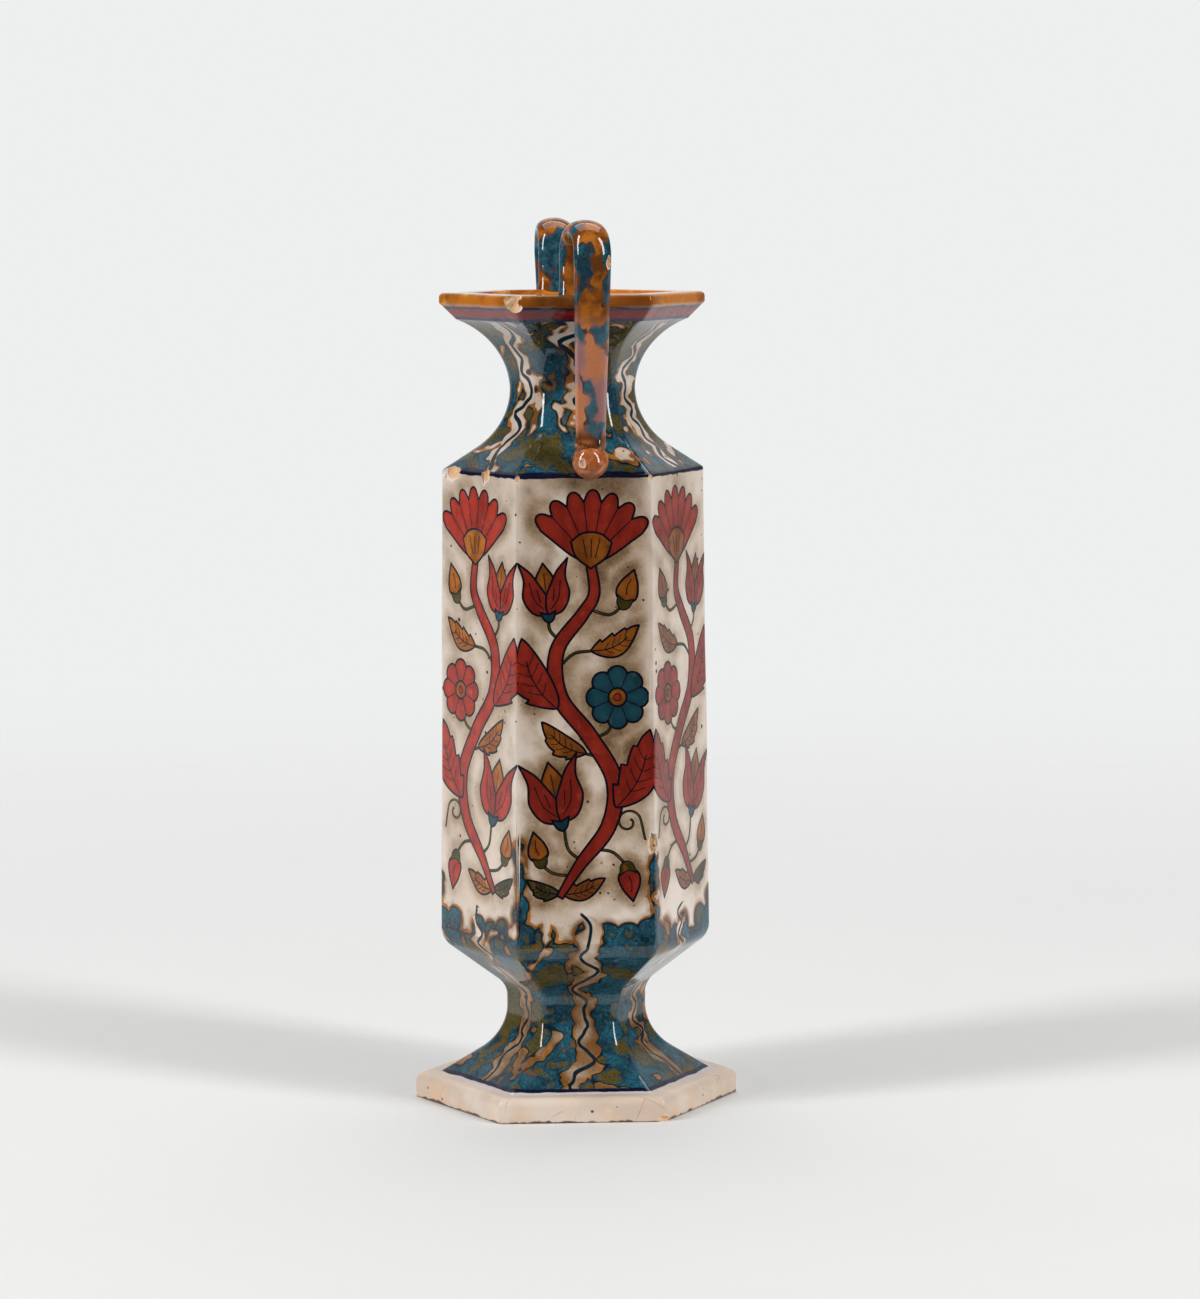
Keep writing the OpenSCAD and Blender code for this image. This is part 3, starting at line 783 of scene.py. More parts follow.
def flowering_vine(side):
    """A vine that winds up the face, with flowers, leaves and buds on alternate sides."""
    spray = Spray(side % 2 == 1)
    vine = [(-9, 16), (-2, 27), (7.6, 40), (9.4, 55), (1, 70),
            (-8.6, 83), (-9.4, 98), (-1, 110), (3, 117), (2, 127)]
    stalks = (
        [(-1.5, 28), (-6, 32), (-7.4, 39)], [(2, 69), (7, 71), (9.8, 76)],
        [(-8, 101), (-11.6, 105), (-12, 109)], [(1, 112), (8, 110), (12.4, 113)],
        [(2, 32), (8.6, 31), (13.4, 26.5)], [(-4.5, 23), (-11, 24), (-15, 27)],
        [(9.4, 55), (5, 62), (0, 64)], [(-9.4, 92), (-4, 97), (2, 98)])
    for stalk in stalks:
        spray.stroke(stalk, STALK, slot=OLIVE_SLOT, line=0.3)
    spray.curl((18.4, 41), 4.4)
    spray.leaf((-9, 17), 66, OLIVE_SLOT, 12, 5.4, -1.6, 3)
    spray.leaf((-8, 17), -70, AMBER_SLOT, 15, 6.2, 2.0, 3)
    spray.leaf((0, 64), 54, AMBER_SLOT, 18, 7.6, -2.8)
    spray.leaf((2, 98), -62, AMBER_SLOT, 18, 7.6, 3.0)
    spray.ribbon(vine, (2.2, 4.6, 5.4, 5.2, 5.0, 4.2, 3.0), RED_SLOT)
    spray.leaf((10, 46), -24, RED_SLOT, 28, 13.0, 3.8)
    spray.leaf((-9.6, 79), 26, RED_SLOT, 26, 12.4, -3.6)
    spray.tulip((-8.2, 40.5), 12, 1.14)
    spray.rosette((10.6, 82.5), RED_SLOT if side % 2 else TEAL_SLOT, 10.4)
    spray.tulip((-12, 109.5), 6, 0.96)
    spray.bud((12.6, 113), -18, AMBER_SLOT, 1.15)
    spray.bud((13.4, 26.5), 190, RED_SLOT, 1.15)
    spray.bud((-15, 27), 14, AMBER_SLOT, 1.05)
    spray.carnation((2, 126.5), -2, 1.18)
    return spray.layers


# Painted slabs

GRID_STEP, SEAM_STEP, ARRIS_STRIPS = 1.5, 2.5, 6
ARRIS_RUN = BODY_ARRIS * math.pi / FACES
# The band below the top edge that follows the shoulder's rounding, its rows, and where the rows below it end
EDGE_BAND, EDGE_ROWS, EDGE_BELOW = 0.55, 4, 1.2
# Distance of the grids from the arrises and from the top, and the columns of the rows along both edges
GRID_IN, GRID_TOP, EDGE_COLUMNS, EDGE_IN = 0.7, 1.5, 31, 0.6
# Height to which run glaze climbs each arris, from the one right of face 0 onwards
CLIMBS = (29, 11, 22, 14, 18, 35)
# Middle of the gap in the bank of glaze along the foot of each face
GAPS = (-6, 5, -3, 6, 1, -5)
GAP_HALF = 4.6
# Lobes of the columns on the arrises: spacing, distance from the seam, radius, least radius, swelling
COLUMN_STEP, COLUMN_IN, COLUMN_R, COLUMN_LEAST_R, COLUMN_SWELL = 1.6, 0.3, 2.6, 1.4, 3.2
# Lobes of the bank: their spacing and reach across, height and its change, radius and its change
BANK_STEP, BANK_HALF, BANK_UP, BANK_LIFT, BANK_R, BANK_SWELL = 7.0, 21, 3.2, 5.0, 5.0, 2.2
# Lobes below the bank that close its foot
SILL_UP, SILL_R = -2.0, 4.0
# Fine grid under the run glaze: its step, its height, and its width along the arrises
RUN_STEP, BANK_TOP, COLUMN_W = 0.6, 14.0, 6.0
# Strength on each face of the brown stains, which also lay painted shade on faces that get less light, most
# on the front; and how far they spread from lines and arrises
STAINS_AND_FACE_SHADE = (2.0, 0.4, 0.35, 1.0, 0.35, 0.4)
STAIN_SPREAD, POOL_SPREAD = 2.6, 1.5
# Stain along lines, in a darker patch that hangs from the top edge, and everywhere; and how far arrises are
# rubbed clean and lightened, partly as painted highlight
LINE_STAIN, TOP_DARKENING, ALL_STAIN, RUBBED_AND_HIGHLIT = 0.95, 0.5, 0.14, 0.8
TOP_DARK_ACROSS, TOP_DARK_DOWN, MOST_STAIN, STAIN_RATE = 16, 15, 1.15, 1.2
# Painted shade: how much darker than the palest face the paint on each face is made, for the light that each
# face gets
FACE_PAINTED_SHADE = (1.0, 0.7, 0.3, 0.8, 0.5, 0.0)

face_line = [(BODY_FOOT_A, BODY_Z)] + SHOULDER_ROUND[:SHOULDER_SPLIT + 1]
face_run = np.concatenate([[0], np.cumsum([math.dist(p, q) for p, q in zip(face_line, face_line[1:])])])
FACE_TOP = float(face_run[-1])


def face_half(v):
    """Half width of the body, half width of its flat, and height, at a distance up a face."""
    a, z = (float(np.interp(v, face_run, values)) for values in zip(*face_line))
    return a, (a - BODY_ARRIS) * TAN30, z


def face_point(side, u, v):
    """Point of the slab's outer skin, whose borders curve round the arrises."""
    out, right = face_axes(side)
    a, half, z = face_half(v)
    over = max(0.0, abs(u) - half) / BODY_ARRIS
    sign = math.copysign(1.0, u)
    hub = out * (a - BODY_ARRIS) + right * sign * min(abs(u), half)
    p = hub + (out * math.cos(over) + right * sign * math.sin(over)) * BODY_ARRIS
    return Vector((p.x, p.y, z))


def seam_reach(v):
    """Distance across the skin from the middle of a face to the seam with the next."""
    return face_half(v)[1] + ARRIS_RUN


def back_point(side, u, v):
    """Point of the slab's inner face behind a point of its border."""
    out, right = face_axes(side)
    a, _, z = face_half(v)
    deep = a - BODY_WALL
    p = out * deep + right * u / seam_reach(v) * deep * TAN30
    return Vector((p.x, p.y, z))


def contour(points, width, closed):
    """Lines at half a width on both sides of a painted line, round at its sharp turns."""
    p = np.array(points)
    ahead = np.roll(p, -1, 0) - p
    behind = p - np.roll(p, 1, 0)
    if not closed:
        ahead[-1], behind[0] = behind[-1], ahead[0]
    heading = np.arctan2(behind[:, 1], behind[:, 0])
    bend = (np.arctan2(ahead[:, 1], ahead[:, 0]) - heading + math.pi) % (2 * math.pi) - math.pi
    lines = []
    for sign in (1, -1):
        line = []
        for q, h, b in zip(p, heading, bend):
            sharp = abs(b) > 0.5 and b * sign < 0
            for share in (0, 0.25, 0.5, 0.75, 1) if sharp else (0.5,):
                t = h + b * share + sign * math.pi / 2
                line.append(q + np.array((math.cos(t), math.sin(t))) * width / 2)
        lines.append(line)
    return lines if closed else [lines[0] + lines[1][::-1]]


def distances(where, points, closed):
    """Distance of each place from a line, and whether a closed line holds it."""
    a = np.array(points)
    b = np.roll(a, -1, 0)
    if not closed:
        a, b = a[:-1], b[:-1]
    d = b - a
    rel = where[:, None, :] - a[None]
    t = np.clip((rel * d).sum(2) / np.maximum((d * d).sum(1), 1e-12), 0, 1)
    far = np.sqrt((((rel - t[:, :, None] * d) ** 2).sum(2)).min(1))
    above = (a[:, 1] > where[:, 1:2]) != (b[:, 1] > where[:, 1:2])
    rise = np.where(np.abs(d[:, 1]) < 1e-12, 1e-12, d[:, 1])
    cross = where[:, :1] < a[:, 0] + (where[:, 1:2] - a[:, 1]) * d[:, 0] / rise
    return far, ((above & cross).sum(1) % 2 == 1) & closed


def paint_of(where, layers):
    """Paint slot of each place: later layers lie over earlier ones."""
    slots = np.zeros(len(where), int)
    for points, slot, width, line in layers:
        margin = (width or 0) / 2 + line
        low, high = points.min(0) - margin, points.max(0) + margin
        near = np.flatnonzero(((where > low) & (where < high)).all(1))
        far, held = distances(where[near], points, width is None)
        if width is None:
            slots[near[held]] = slot
            slots[near[far < line / 2]] = NAVY_SLOT
        else:
            slots[near[far < (width + line) / 2]] = NAVY_SLOT
            slots[near[far < (width - line) / 2]] = slot
    return slots


def slab_plan(layers):
    """Corner points and cut lines of a painted skin, laid out flat."""
    points, cuts = [], []

    def scatter(places):
        points.extend((float(x), float(y)) for x, y in places)

    def add(line, closed):
        first = len(points)
        scatter(line)
        cuts.extend((first + i, first + i + 1) for i in range(len(line) - 1))
        if closed:
            cuts.append((first + len(line) - 1, first))

    def row(v, step):
        half = face_half(v)[1] - GRID_IN
        return half, np.linspace(-half, half, round(2 * half / step) + 1)

    levels = list(np.linspace(0, FACE_TOP - EDGE_BELOW, round(FACE_TOP / SEAM_STEP)))
    levels += [FACE_TOP - EDGE_BAND * i / EDGE_ROWS for i in range(EDGE_ROWS, -1, -1)]
    for i in range(ARRIS_STRIPS + 1):
        for sign in (-1, 1):
            add([(sign * (seam_reach(v) - ARRIS_RUN * i / ARRIS_STRIPS), v) for v in levels], False)
    across = np.linspace(-1, 1, EDGE_COLUMNS)[1:-1]
    for v in (0.0, *levels[-EDGE_ROWS - 1:]):
        scatter((x * (seam_reach(v) - BODY_ARRIS * EDGE_IN), v) for x in across)
    for v in np.arange(GRID_STEP, FACE_TOP - GRID_TOP, GRID_STEP):
        scatter((x, v) for x in row(v, GRID_STEP)[1])
    for v in np.arange(RUN_STEP, max(CLIMBS) + 3, RUN_STEP):
        half, across = row(v, RUN_STEP)
        scatter((x, v) for x in across if v < BANK_TOP or abs(x) > half - COLUMN_W)
    for line, _, width, edge in layers:
        if width is None:
            loops = contour(line, edge, True)
        else:
            bands = (width + edge, width - edge) if edge else (width,)
            loops = [contour(line, band, False)[0] for band in bands]
        for loop in loops:
            add(loop, True)
    return points, cuts


def border_loop(faces):
    """Points round the border of a triangulated skin, in the faces' own order."""
    edges = {(f[i], f[(i + 1) % 3]) for f in faces for i in range(3)}
    after = {a: b for a, b in edges if (b, a) not in edges}
    start = min(after)
    loop = [start]
    while after[loop[-1]] != start:
        loop.append(after[loop[-1]])
    return loop


def run_lobes(side):
    """Round lobes of run glaze, as right, up and radius: a column on each arris, a bank at the foot."""
    lobes = []
    for sign, climb in ((1, CLIMBS[side]), (-1, CLIMBS[side - 1])):
        for v in np.arange(0, climb, COLUMN_STEP):
            swell = noise.noise(Vector((9 * side + 3 * sign, v / 3.4, 1.5)))
            r = max(COLUMN_LEAST_R, COLUMN_R + COLUMN_SWELL * swell)
            lobes.append((sign * (seam_reach(v) - COLUMN_IN), v, r))
    for u in np.arange(-BANK_HALF, BANK_HALF + 1, BANK_STEP):
        lift, swell = (noise.noise(Vector((u / 5.0 + 40 * side, w, 0))) for w in (5, 9))
        if abs(u - GAPS[side]) > GAP_HALF:
            lobes.append((u, BANK_UP + BANK_LIFT * lift, BANK_R + BANK_SWELL * swell))
        lobes += [(u + shift, SILL_UP, SILL_R + swell) for shift in (0, BANK_STEP / 2)]
    return lobes


def glaze_reach(side, where):
    """Distance of each place inside the edge of the run glaze that climbs from the foot."""
    u, v, r = np.array(run_lobes(side)).T
    return (r - np.hypot(where[:, :1] - u, where[:, 1:] - v)).max(1).clip(-20, 20)


def fading(distance, spread):
    return np.exp(-(distance / spread) ** 2)


def weathering(side, where, layers):
    """Values of the skin's places for the materials: stains with painted shade, cover of run glaze, and paint
    that pooled.
    """
    marks = np.vstack([line for line, *_ in layers])
    tree = kdtree.KDTree(len(marks))
    for i, (u, v) in enumerate(marks):
        tree.insert((u, v, 0), i)
    tree.balance()
    near = np.array([tree.find((u, v, 0))[2] for u, v in where])
    inward = np.array([seam_reach(v) - abs(u) for u, v in where])
    # Darker patch that hangs from the middle of the top edge
    top_dark = fading(where[:, 0], TOP_DARK_ACROSS) * fading(where[:, 1] - FACE_TOP, TOP_DARK_DOWN)
    # Arrises rubbed clean of stain, which also paints the pale highlight along them
    rubbed_and_highlit = 1 - RUBBED_AND_HIGHLIT * fading(inward, STAIN_SPREAD)
    # Painted shade: each face's strength darkens its stains and its whole ground for the light it gets
    amount = STAINS_AND_FACE_SHADE[side] * rubbed_and_highlit * (LINE_STAIN * fading(near, STAIN_SPREAD) + TOP_DARKENING * top_dark + ALL_STAIN)
    stain_and_shade = MOST_STAIN * (1 - np.exp(-STAIN_RATE * amount))
    return {"stain_and_shade": stain_and_shade, "cover": glaze_reach(side, where), "pooled": fading(near, POOL_SPREAD)}


def painted_slab(name, side):
    """One mitred slab: its painted skin, its edges and its plain inner face."""
    layers = flowering_vine(side)
    points, cuts = slab_plan(layers)
    flat, _, faces, *_ = delaunay_2d_cdt([Vector(p) for p in points], cuts, [], 0, 1e-4)
    where = np.array([tuple(p) for p in flat])
    slots = list(paint_of(where[np.array(faces)].mean(1), layers))
    solid = [drifted(face_point(side, u, v)) for u, v in where]
    loop = border_loop(faces)
    back = {p: len(solid) + i for i, p in enumerate(loop)}
    solid += [drifted(back_point(side, *where[p])) for p in loop]
    plain = [(q, p, back[p], back[q]) for p, q in zip(loop, loop[1:] + loop[:1])]
    plain.append([back[p] for p in reversed(loop)])
    slots += [len(PAINTS)] * len(plain)
    piece = new_piece(name, solid, [tuple(f) for f in faces] + plain, PAINTS + [INSIDE], slots)
    # The tone attribute holds each face's painted shade
    for key, values in {**weathering(side, where, layers), "tone": np.full(len(where), FACE_PAINTED_SHADE[side])}.items():
        all_over = np.zeros(len(solid), np.float32)
        all_over[:len(where)] = values
        piece.data.attributes.new(key, "FLOAT", "POINT").data.foreach_set("value", all_over)
    return piece


# Handles and bosses

ROOT_A = (MOUTH_A + RIM_A - LIP_EDGE_R) / 2
ARCH_OUT_A = RIM_A + HANDLE_GAP + HANDLE_T / 2
ARCH_R = (ARCH_OUT_A - ROOT_A) / 2
ARCH_CENTRE = Vector((ROOT_A + ARCH_R, RIM_Z + HANDLE_RISE - HANDLE_T / 2 - ARCH_R))
BOSS_CENTRE = Vector((BODY_TOP_A + BOSS_OUT, SHOULDER_Z + BOSS_UP))
TO_BOSS = BOSS_CENTRE - ARCH_CENTRE
LIMB_ANGLE = math.degrees(math.atan2(TO_BOSS.y, TO_BOSS.x) + math.acos(ARCH_R / TO_BOSS.length))
LIMB_LENGTH = math.sqrt(TO_BOSS.length ** 2 - ARCH_R ** 2) - BOSS_FLAT
STRAP_SIDES, STRAP_STEP, STRAP_SINK = 32, 0.9, 0.5
# Swelling where a strap is pressed on to the lip, and the two-lobed collar where it is pinched
ROOT_SWELL, ROOT_SWELL_H = 0.8, 5.0
COLLAR, COLLAR_UP, COLLAR_HALF, COLLAR_LOBE, COLLAR_LOBE_HALF = 0.9, 2.2, 1.3, 2.4, 1.4
BOSS_LUMP, BOSS_LUMP_WAVE, BOSS_SINK = 0.22, 4.5, 0.25


def strap_path():
    """Stations of the handle's middle line: distance out, height, heading, and share of its taper."""
    stem = math.ceil((ARCH_CENTRE.y - RIM_Z + STRAP_SINK) / STRAP_STEP)
    stations = [(ROOT_A, RIM_Z - STRAP_SINK + i * STRAP_STEP, 90, 0.0) for i in range(stem)]
    steps = round(math.radians(180 - LIMB_ANGLE) * ARCH_R / STRAP_STEP)
    for i in range(steps + 1):
        angle = 180 + (LIMB_ANGLE - 180) * i / steps
        stations.append((*(ARCH_CENTRE + Vector(polar(ARCH_R, angle))), angle - 90, 0.0))
    start = ARCH_CENTRE + Vector(polar(ARCH_R, LIMB_ANGLE))
    run = LIMB_LENGTH + STRAP_SINK
    steps = round(run / STRAP_STEP)
    for i in range(1, steps + 1):
        p = start + Vector(polar(run * i / steps, LIMB_ANGLE - 90))
        stations.append((*p, LIMB_ANGLE - 90, i / steps))
    return stations


def strap(name, turn, lean):
    """An oval coil, thicker where it is pressed on to the lip and pinched above its ball.

    The lean is how far its loop strays sideways from the outer limb to the root.
    """
    stations = strap_path()
    spin = about_axis(turn + HANDLE_TURN)
    end = stations[-1][:2]
    points, faces = [], []
    for out, z, heading, taper in stations:
        root = max(0.0, 1 - (z - RIM_Z + STRAP_SINK) / ROOT_SWELL_H) if heading == 90 else 0.0
        to_end = math.dist((out, z), end) if taper else math.inf
        collar = COLLAR * fading(to_end - COLLAR_UP, COLLAR_HALF)
        w = (HANDLE_W + (HANDLE_FOOT_W - HANDLE_W) * taper) / 2 + ROOT_SWELL * root ** 2 + collar / 2
        t = (HANDLE_T + (HANDLE_FOOT_T - HANDLE_T) * taper) / 2 + ROOT_SWELL * root ** 2
        ahead, up = polar(1.0, heading)
        stray = lean * max(0.0, ARCH_OUT_A - out) / (2 * ARCH_R) if not taper else 0.0
        for i in range(STRAP_SIDES):
            c, s = polar(1.0, 360 * i / STRAP_SIDES)
            lobes = fading(abs(w * c) - COLLAR_LOBE, COLLAR_LOBE_HALF) * max(0.0, s)
            depth = t * s + collar * lobes
            points.append(drifted(spin @ Vector((w * c + stray, depth * up - out, z + depth * ahead))))
    for j in range(len(stations) - 1):
        for i in range(STRAP_SIDES):
            a, b = j * STRAP_SIDES + i, j * STRAP_SIDES + (i + 1) % STRAP_SIDES
            faces.append((a, b, b + STRAP_SIDES, a + STRAP_SIDES))
    faces.append(tuple(reversed(range(STRAP_SIDES))))
    faces.append(tuple(range(len(points) - STRAP_SIDES, len(points))))
    return new_piece(name, points, faces, [STRAP], [0] * len(faces))


def ball(name, turn):
    """A pressed-on pellet of clay, flat where it meets the shoulder and the slab."""
    mesh = bmesh.new()
    bmesh.ops.create_icosphere(mesh, subdivisions=5, radius=BOSS_R)
    slab_way = Vector((0, -1, (BODY_FOOT_A - BODY_TOP_A) / BODY_H)).normalized()
    ahead, up = polar(1.0, SHOULDER_PITCH)
    skirt_way = Vector((0, -up, ahead))
    edge = Vector((0, -BODY_TOP_A, SHOULDER_Z))
    points = []
    for vertex in mesh.verts:
        lumps = BOSS_LUMP * noise.noise(vertex.co / BOSS_LUMP_WAVE + Vector((turn, 3, 7)))
        p = vertex.co * (1 + lumps / BOSS_R) + Vector((0, -BOSS_CENTRE.x, BOSS_CENTRE.y))
        p = about_axis(HANDLE_TURN) @ p
        slab, skirt = ((p - edge) @ way + BOSS_SINK for way in (slab_way, skirt_way))
        if slab < 0 and skirt < 0:
            p -= slab_way * slab if slab > skirt else skirt_way * skirt
        points.append(drifted(about_axis(turn) @ p))
    faces = [tuple(v.index for v in f.verts) for f in mesh.faces]
    mesh.free()
    return new_piece(name, points, faces, [BALL], [0] * len(faces))


# Pieces

RIM_STEP, NECK_INNER_STEP = 0.7, 3
PLINTH_BED, PLINTH_FOOT_R = 8.0, 0.6
BAND_EDGE_R, LIP_FOOT_R, MOUTH_EDGE_R, MOUTH_IN, MOUTH_DOWN = 0.8, 0.7, 0.9, 1.6, 2.5
plinth_out = rounded(
    [(PLINTH_A - PLINTH_BED, 0), (PLINTH_A, 0), (PLINTH_A, PLINTH_H), (FOOT_A - FOOT_WALL, PLINTH_H)],
    [PLINTH_FOOT_R, PLINTH_EDGE_R])
plinth_hole = FOOT_A - FOOT_WALL / math.sin(math.radians(FOOT_PITCH))
plinth = swept_shell("plinth_slab", densified(plinth_out), [(plinth_hole, 0), (plinth_hole, PLINTH_H)],
                     [BISCUIT_WARE], PLINTH_ARRIS, FOOT_TURN)
foot = swept_shell("foot_pedestal", densified(foot_line(0)), foot_line(FOOT_WALL), [MOTTLED, BISCUIT_WARE],
                   turn=FOOT_TURN)
bowl = swept_shell("bowl_base", densified(bowl_line()), funnel_line(), [MOTTLED, INSIDE])
neck_out = SHOULDER_ROUND[SHOULDER_SPLIT:] + neck_line(0)[1:]
neck_in = densified(neck_line(NECK_WALL), NECK_INNER_STEP)
neck = swept_shell("neck_sweep", densified(neck_out), neck_in, [MOTTLED, INSIDE])
rim_out = rounded(
    [(NECK_TOP_A, BAND_Z), (RIM_A - LIP_OVER, LIP_Z), (RIM_A, LIP_Z + LIP_OVER), (RIM_A, RIM_Z),
     (MOUTH_A, RIM_Z), (MOUTH_A - MOUTH_IN, RIM_Z - MOUTH_DOWN)],
    [BAND_EDGE_R, LIP_FOOT_R, LIP_EDGE_R, MOUTH_EDGE_R])
rim = swept_shell("rim_lip", densified(rim_out, RIM_STEP), [(MOUTH_FOOT_A, BAND_Z)], [RIM_GLAZE, INSIDE])

PANELS = ["panel_" + place for place in
          ("front", "front_right", "back_right", "back", "back_left", "front_left")]
slabs = [painted_slab(name + "_slab", side) for side, name in enumerate(PANELS)]
straps = [strap("handle_front_strap", 0, lean=-2.6), strap("handle_back_strap", 180, lean=0.6)]
balls = [ball("boss_front_ball", 0), ball("boss_back_ball", 180)]

# Chips

# The two breaks of a chip: what each lays bare, and its shares of the chip's width and depth
BREAKS = ((CHIP_EDGE, 1.16, 0.62), (CHIPPED, 1.0, 1.0))
# Depth and number of the long and the short waves that make a break uneven
CHIP_WAVES = ((0.22, 1.7), (0.05, 6.0))


def chipped(piece, place, radii, turn, seed):
    """Knocks a chip out of a piece: a shallow white break in the glaze, then the clay under it."""
    for material, grow, shallow in BREAKS:
        size = Vector((radii[0] * grow, radii[1] * shallow, radii[2] * grow))
        cutter = bmesh.new()
        bmesh.ops.create_icosphere(cutter, subdivisions=4, radius=1.0)
        for v in cutter.verts:
            shifts = (Vector((seed, 0, 0)), Vector())
            waves = [depth * noise.noise(v.co * count + s) for (depth, count), s in zip(CHIP_WAVES, shifts)]
            v.co = (about_axis(turn) @ (v.co * (1 + sum(waves)) * size) + Vector(place)) * MM
        mesh = bpy.data.meshes.new("chip")
        cutter.to_mesh(mesh)
        cutter.free()
        mesh.materials.append(material)
        tool = bpy.data.objects.new("chip", mesh)
        bpy.context.scene.collection.objects.link(tool)
        cut = piece.modifiers.new("chip", "BOOLEAN")
        cut.operation, cut.solver, cut.object = "DIFFERENCE", "EXACT", tool
        cut.material_mode = "TRANSFER"
        bpy.context.view_layer.update()
        made = bpy.data.meshes.new_from_object(piece.evaluated_get(bpy.context.evaluated_depsgraph_get()))
        piece.modifiers.clear()
        old, piece.data = piece.data, made
        bpy.data.meshes.remove(old)
        bpy.data.objects.remove(tool)
        bpy.data.meshes.remove(mesh)


def corner(side, a, turn=0.0):
    """Place in plan of the arris to the right of a face, at a half width."""
    return polar(a / math.cos(math.radians(FACE_TURN / 2)), side * FACE_TURN - 60 + turn)


left_arris, front_left_arris, front_right_arris = (corner(side, BODY_TOP_A - 0.2) for side in (4, 5, 0))


def along_edge(share):
    """Place on the shoulder edge of the front-left face, from its left arris to its right one."""
    return [p + (q - p) * share for p, q in zip(left_arris, front_left_arris)]


lip_x, lip_y = corner(5, RIM_A - 1.4)
# The pieces that each chip cuts, its place, its half width, depth and height, its turn, and its seed
CHIPS = (
    ([rim], (lip_x - 1.8, lip_y + 0.9, LIP_Z + 2.0), (3.8, 2.6, 4.0), -30, 3.1),
    ([slabs[5], neck], (*along_edge(0.14), SHOULDER_Z - 0.3), (4.4, 2.0, 2.7), -60, 5.2),
    ([slabs[5], neck], (*along_edge(0.59), SHOULDER_Z - 0.2), (2.0, 1.5, 2.7), -60, 8.4),
    (slabs[:2], (*corner(0, BODY_FOOT_A - 0.9), 92), (2.1, 1.1, 3.2), 30, 1.7),
    (straps[:1], (HANDLE_W / 2 + 1.3, -ARCH_OUT_A - 1.4, 284.5), (1.1, 1.5, 2.2), 40, 4.0),
    (balls[:1], (-1.2, -BOSS_CENTRE.x - 4.9, BOSS_CENTRE.y - 0.5), (1.3, 0.9, 1.6), -31, 6.0),
    ([slabs[0], slabs[5], neck], (*front_left_arris, SHOULDER_Z - 1.0), (1.0, 0.7, 1.5), -30, 2.2),
    ([*slabs[:2], neck], (*front_right_arris, SHOULDER_Z - 0.8), (0.9, 0.7, 1.3), 30, 9.1),
    ([plinth], (*corner(0, PLINTH_A - 0.4, FOOT_TURN), 0.6), (2.2, 1.6, 1.6), 30, 7.3),
)
for pieces, *chip in CHIPS:
    for piece in pieces:
        chipped(piece, *chip)

# Places in the frame


def stands_for(piece, node):
    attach(piece, "root")
    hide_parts(node)


stands_for(plinth, "plinth")
stands_for(foot, "foot")
stands_for(bowl, "bowl")
stands_for(neck, "neck")
stands_for(rim, "rim")
for slab, name in zip(slabs, PANELS):
    stands_for(slab, name)
for end, piece, pellet in zip(("front", "back"), straps, balls):
    stands_for(piece, "handle_" + end)
    stands_for(pellet, "boss_" + end)
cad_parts["floor"].data.materials.clear()
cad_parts["floor"].data.materials.append(INSIDE)

# Studio, in metres

SWEEP_HALF, SWEEP_FRONT, SWEEP_BEND, SWEEP_BEND_R, SWEEP_TOP, SWEEP_DROP = 5.0, -0.16, 2.0, 1.2, 5.0, -0.0005
FLOOR_RADIUS, FADE_START, FADE_END = 2.0, 0.12, 1.3
DIM_COLOUR, DIM_STRENGTH = (0.93, 0.96, 1.0, 1.0), 0.06


def paper(name, fades):
    """Pale paper, which fades out with distance from the vase where it is the floor that is seen."""
    glaze = Glaze(name, 0.8)
    glaze.relief((glaze.noise(2.0, detail=5.0), 0.08))
    material = glaze.done(glaze.mix(glaze.noise(240, detail=4.0), PAPER, PAPER_PALE))
    if fades:
        far = glaze.vector("LENGTH", glaze.where, output="Value").step(FADE_START, FADE_END)
        paper_shader, clear = Field(glaze, glaze.shader.outputs[0]), glaze.field("BsdfTransparent")
        shown = glaze.field("MixShader", {0: far, 1: paper_shader, 2: clear})
        glaze.feed(glaze.tree.nodes["Material Output"].inputs[0], shown)
    return material


def studio_floor():
    """A round pale floor for the camera, and for light alone a sweep that curves up behind the vase."""
    around = np.linspace(0, 2 * math.pi, 96, endpoint=False)
    edge = [Vector((math.cos(t), math.sin(t), 0)) * FLOOR_RADIUS / MM for t in around]
    floor = new_piece("studio_floor", edge, [range(len(edge))], [paper("studio_paper", True)], [0])
    floor.visible_glossy = floor.visible_diffuse = floor.visible_shadow = False
    bend = [(SWEEP_BEND + SWEEP_BEND_R * math.sin(t), SWEEP_BEND_R * (1 - math.cos(t)))
            for t in np.linspace(0.1, math.pi / 2, 16)]
    line = [(SWEEP_FRONT, SWEEP_DROP), (SWEEP_BEND, SWEEP_DROP), *bend,
            (SWEEP_BEND + SWEEP_BEND_R, SWEEP_TOP)]
    points = [Vector((x, y, z)) / MM for y, z in line for x in (-SWEEP_HALF, SWEEP_HALF)]
    faces = [(2 * i, 2 * i + 1, 2 * i + 3, 2 * i + 2) for i in range(len(line) - 1)]
    sweep = new_piece("studio_sweep", points, faces, [paper("sweep_paper", False)], [0] * len(faces), 60)
    sweep.visible_camera = False


def softbox(name, azimuth, distance, height, size, power, aim=(0, 0, 0.15)):
    """A rectangular lamp; azimuth 0 stands in front of the vase, 90 to its right."""
    lamp = bpy.data.lights.new(name, "AREA")
    lamp.shape, lamp.size, lamp.size_y, lamp.energy = "RECTANGLE", size[0], size[1], power
    stand = bpy.data.objects.new(name, lamp)
    ahead, aside = polar(distance, azimuth)
    stand.location = (aside, -ahead, height)
    stand.rotation_euler = (Vector(aim) - stand.location).to_track_quat("-Z", "Y").to_euler()
    stand.visible_camera = False
    bpy.context.scene.collection.objects.link(stand)


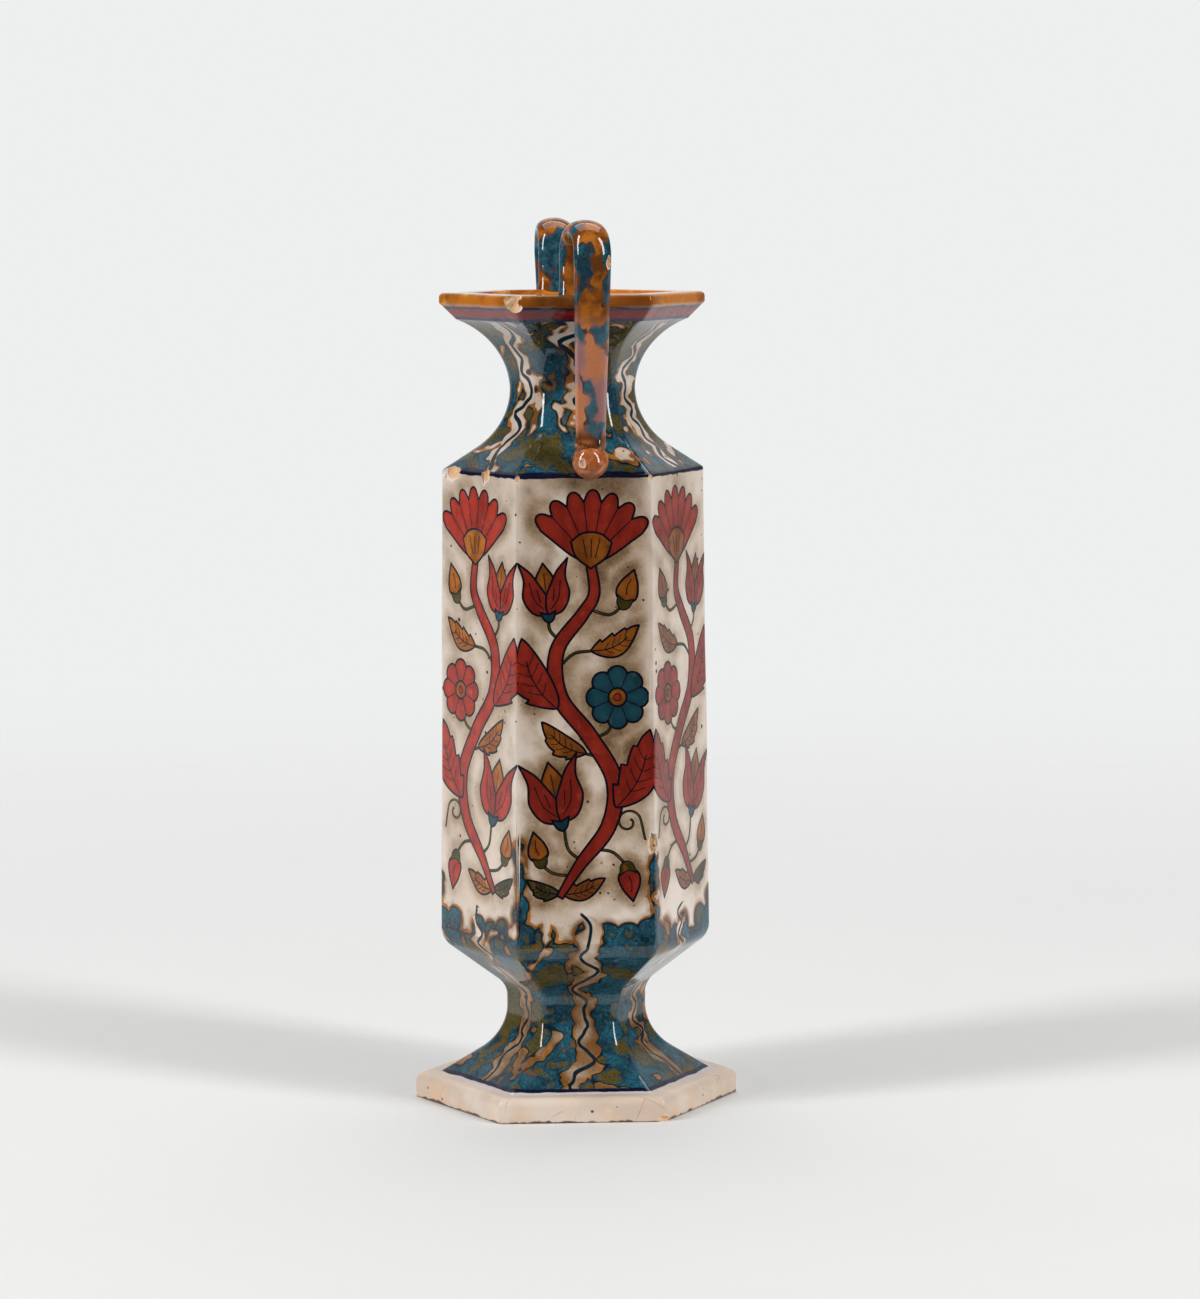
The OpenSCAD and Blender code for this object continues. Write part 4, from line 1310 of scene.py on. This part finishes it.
def studio_world():
    """A pale backdrop where the camera looks past the floor, and dim light from all round."""
    world = bpy.data.worlds.new("studio")
    world.use_nodes = True
    nodes, links = world.node_tree.nodes, world.node_tree.links
    dim, pale = nodes["Background"], nodes.new("ShaderNodeBackground")
    dim.inputs["Color"].default_value, dim.inputs["Strength"].default_value = DIM_COLOUR, DIM_STRENGTH
    pale.inputs["Color"].default_value = BACKDROP
    seen, choose = nodes.new("ShaderNodeLightPath"), nodes.new("ShaderNodeMixShader")
    for i, socket in enumerate((seen.outputs["Is Camera Ray"], dim.outputs[0], pale.outputs[0])):
        links.new(socket, choose.inputs[i])
    links.new(choose.outputs[0], nodes["World Output"].inputs[0])
    bpy.context.scene.world = world
    bpy.context.scene.view_settings.view_transform = "Standard"


studio_floor()
softbox("softbox_right", azimuth=50, distance=1.5, height=1.0, size=(0.3, 1.6), power=20.5)
softbox("softbox_left", azimuth=-68, distance=1.5, height=1.0, size=(0.3, 1.6), power=21)
softbox("overhead", azimuth=180, distance=0.7, height=2.4, size=(2.4, 1.6), power=20)
softbox("backdrop", azimuth=168, distance=1.6, height=2.6, size=(3.0, 1.0), power=46, aim=(0.4, 3.2, 1.2))
studio_world()

# Camera, from the corners of the vase in the photograph
CAMERA_AT = Vector((-0.14024, -1.49345, 0.31358))
CAMERA_YAW, CAMERA_TILT, CAMERA_ROLL = -5.70, 6.109, -0.293
FOCAL_PIXELS, IMAGE_HEIGHT, SENSOR = 4449.8, 1299, 36.0

lens = bpy.data.cameras.new("camera")
lens.sensor_fit, lens.sensor_height, lens.sensor_width = "VERTICAL", SENSOR, SENSOR
lens.lens = FOCAL_PIXELS / IMAGE_HEIGHT * SENSOR
lens.clip_start, lens.clip_end = 0.05, 50
camera = bpy.data.objects.new("camera", lens)
pitch = Matrix.Rotation(math.radians(90 - CAMERA_TILT), 3, "X")
facing = about_axis(CAMERA_YAW) @ pitch @ about_axis(CAMERA_ROLL)
camera.matrix_world = Matrix.Translation(CAMERA_AT) @ facing.to_4x4()
bpy.context.scene.collection.objects.link(camera)
bpy.context.scene.camera = camera
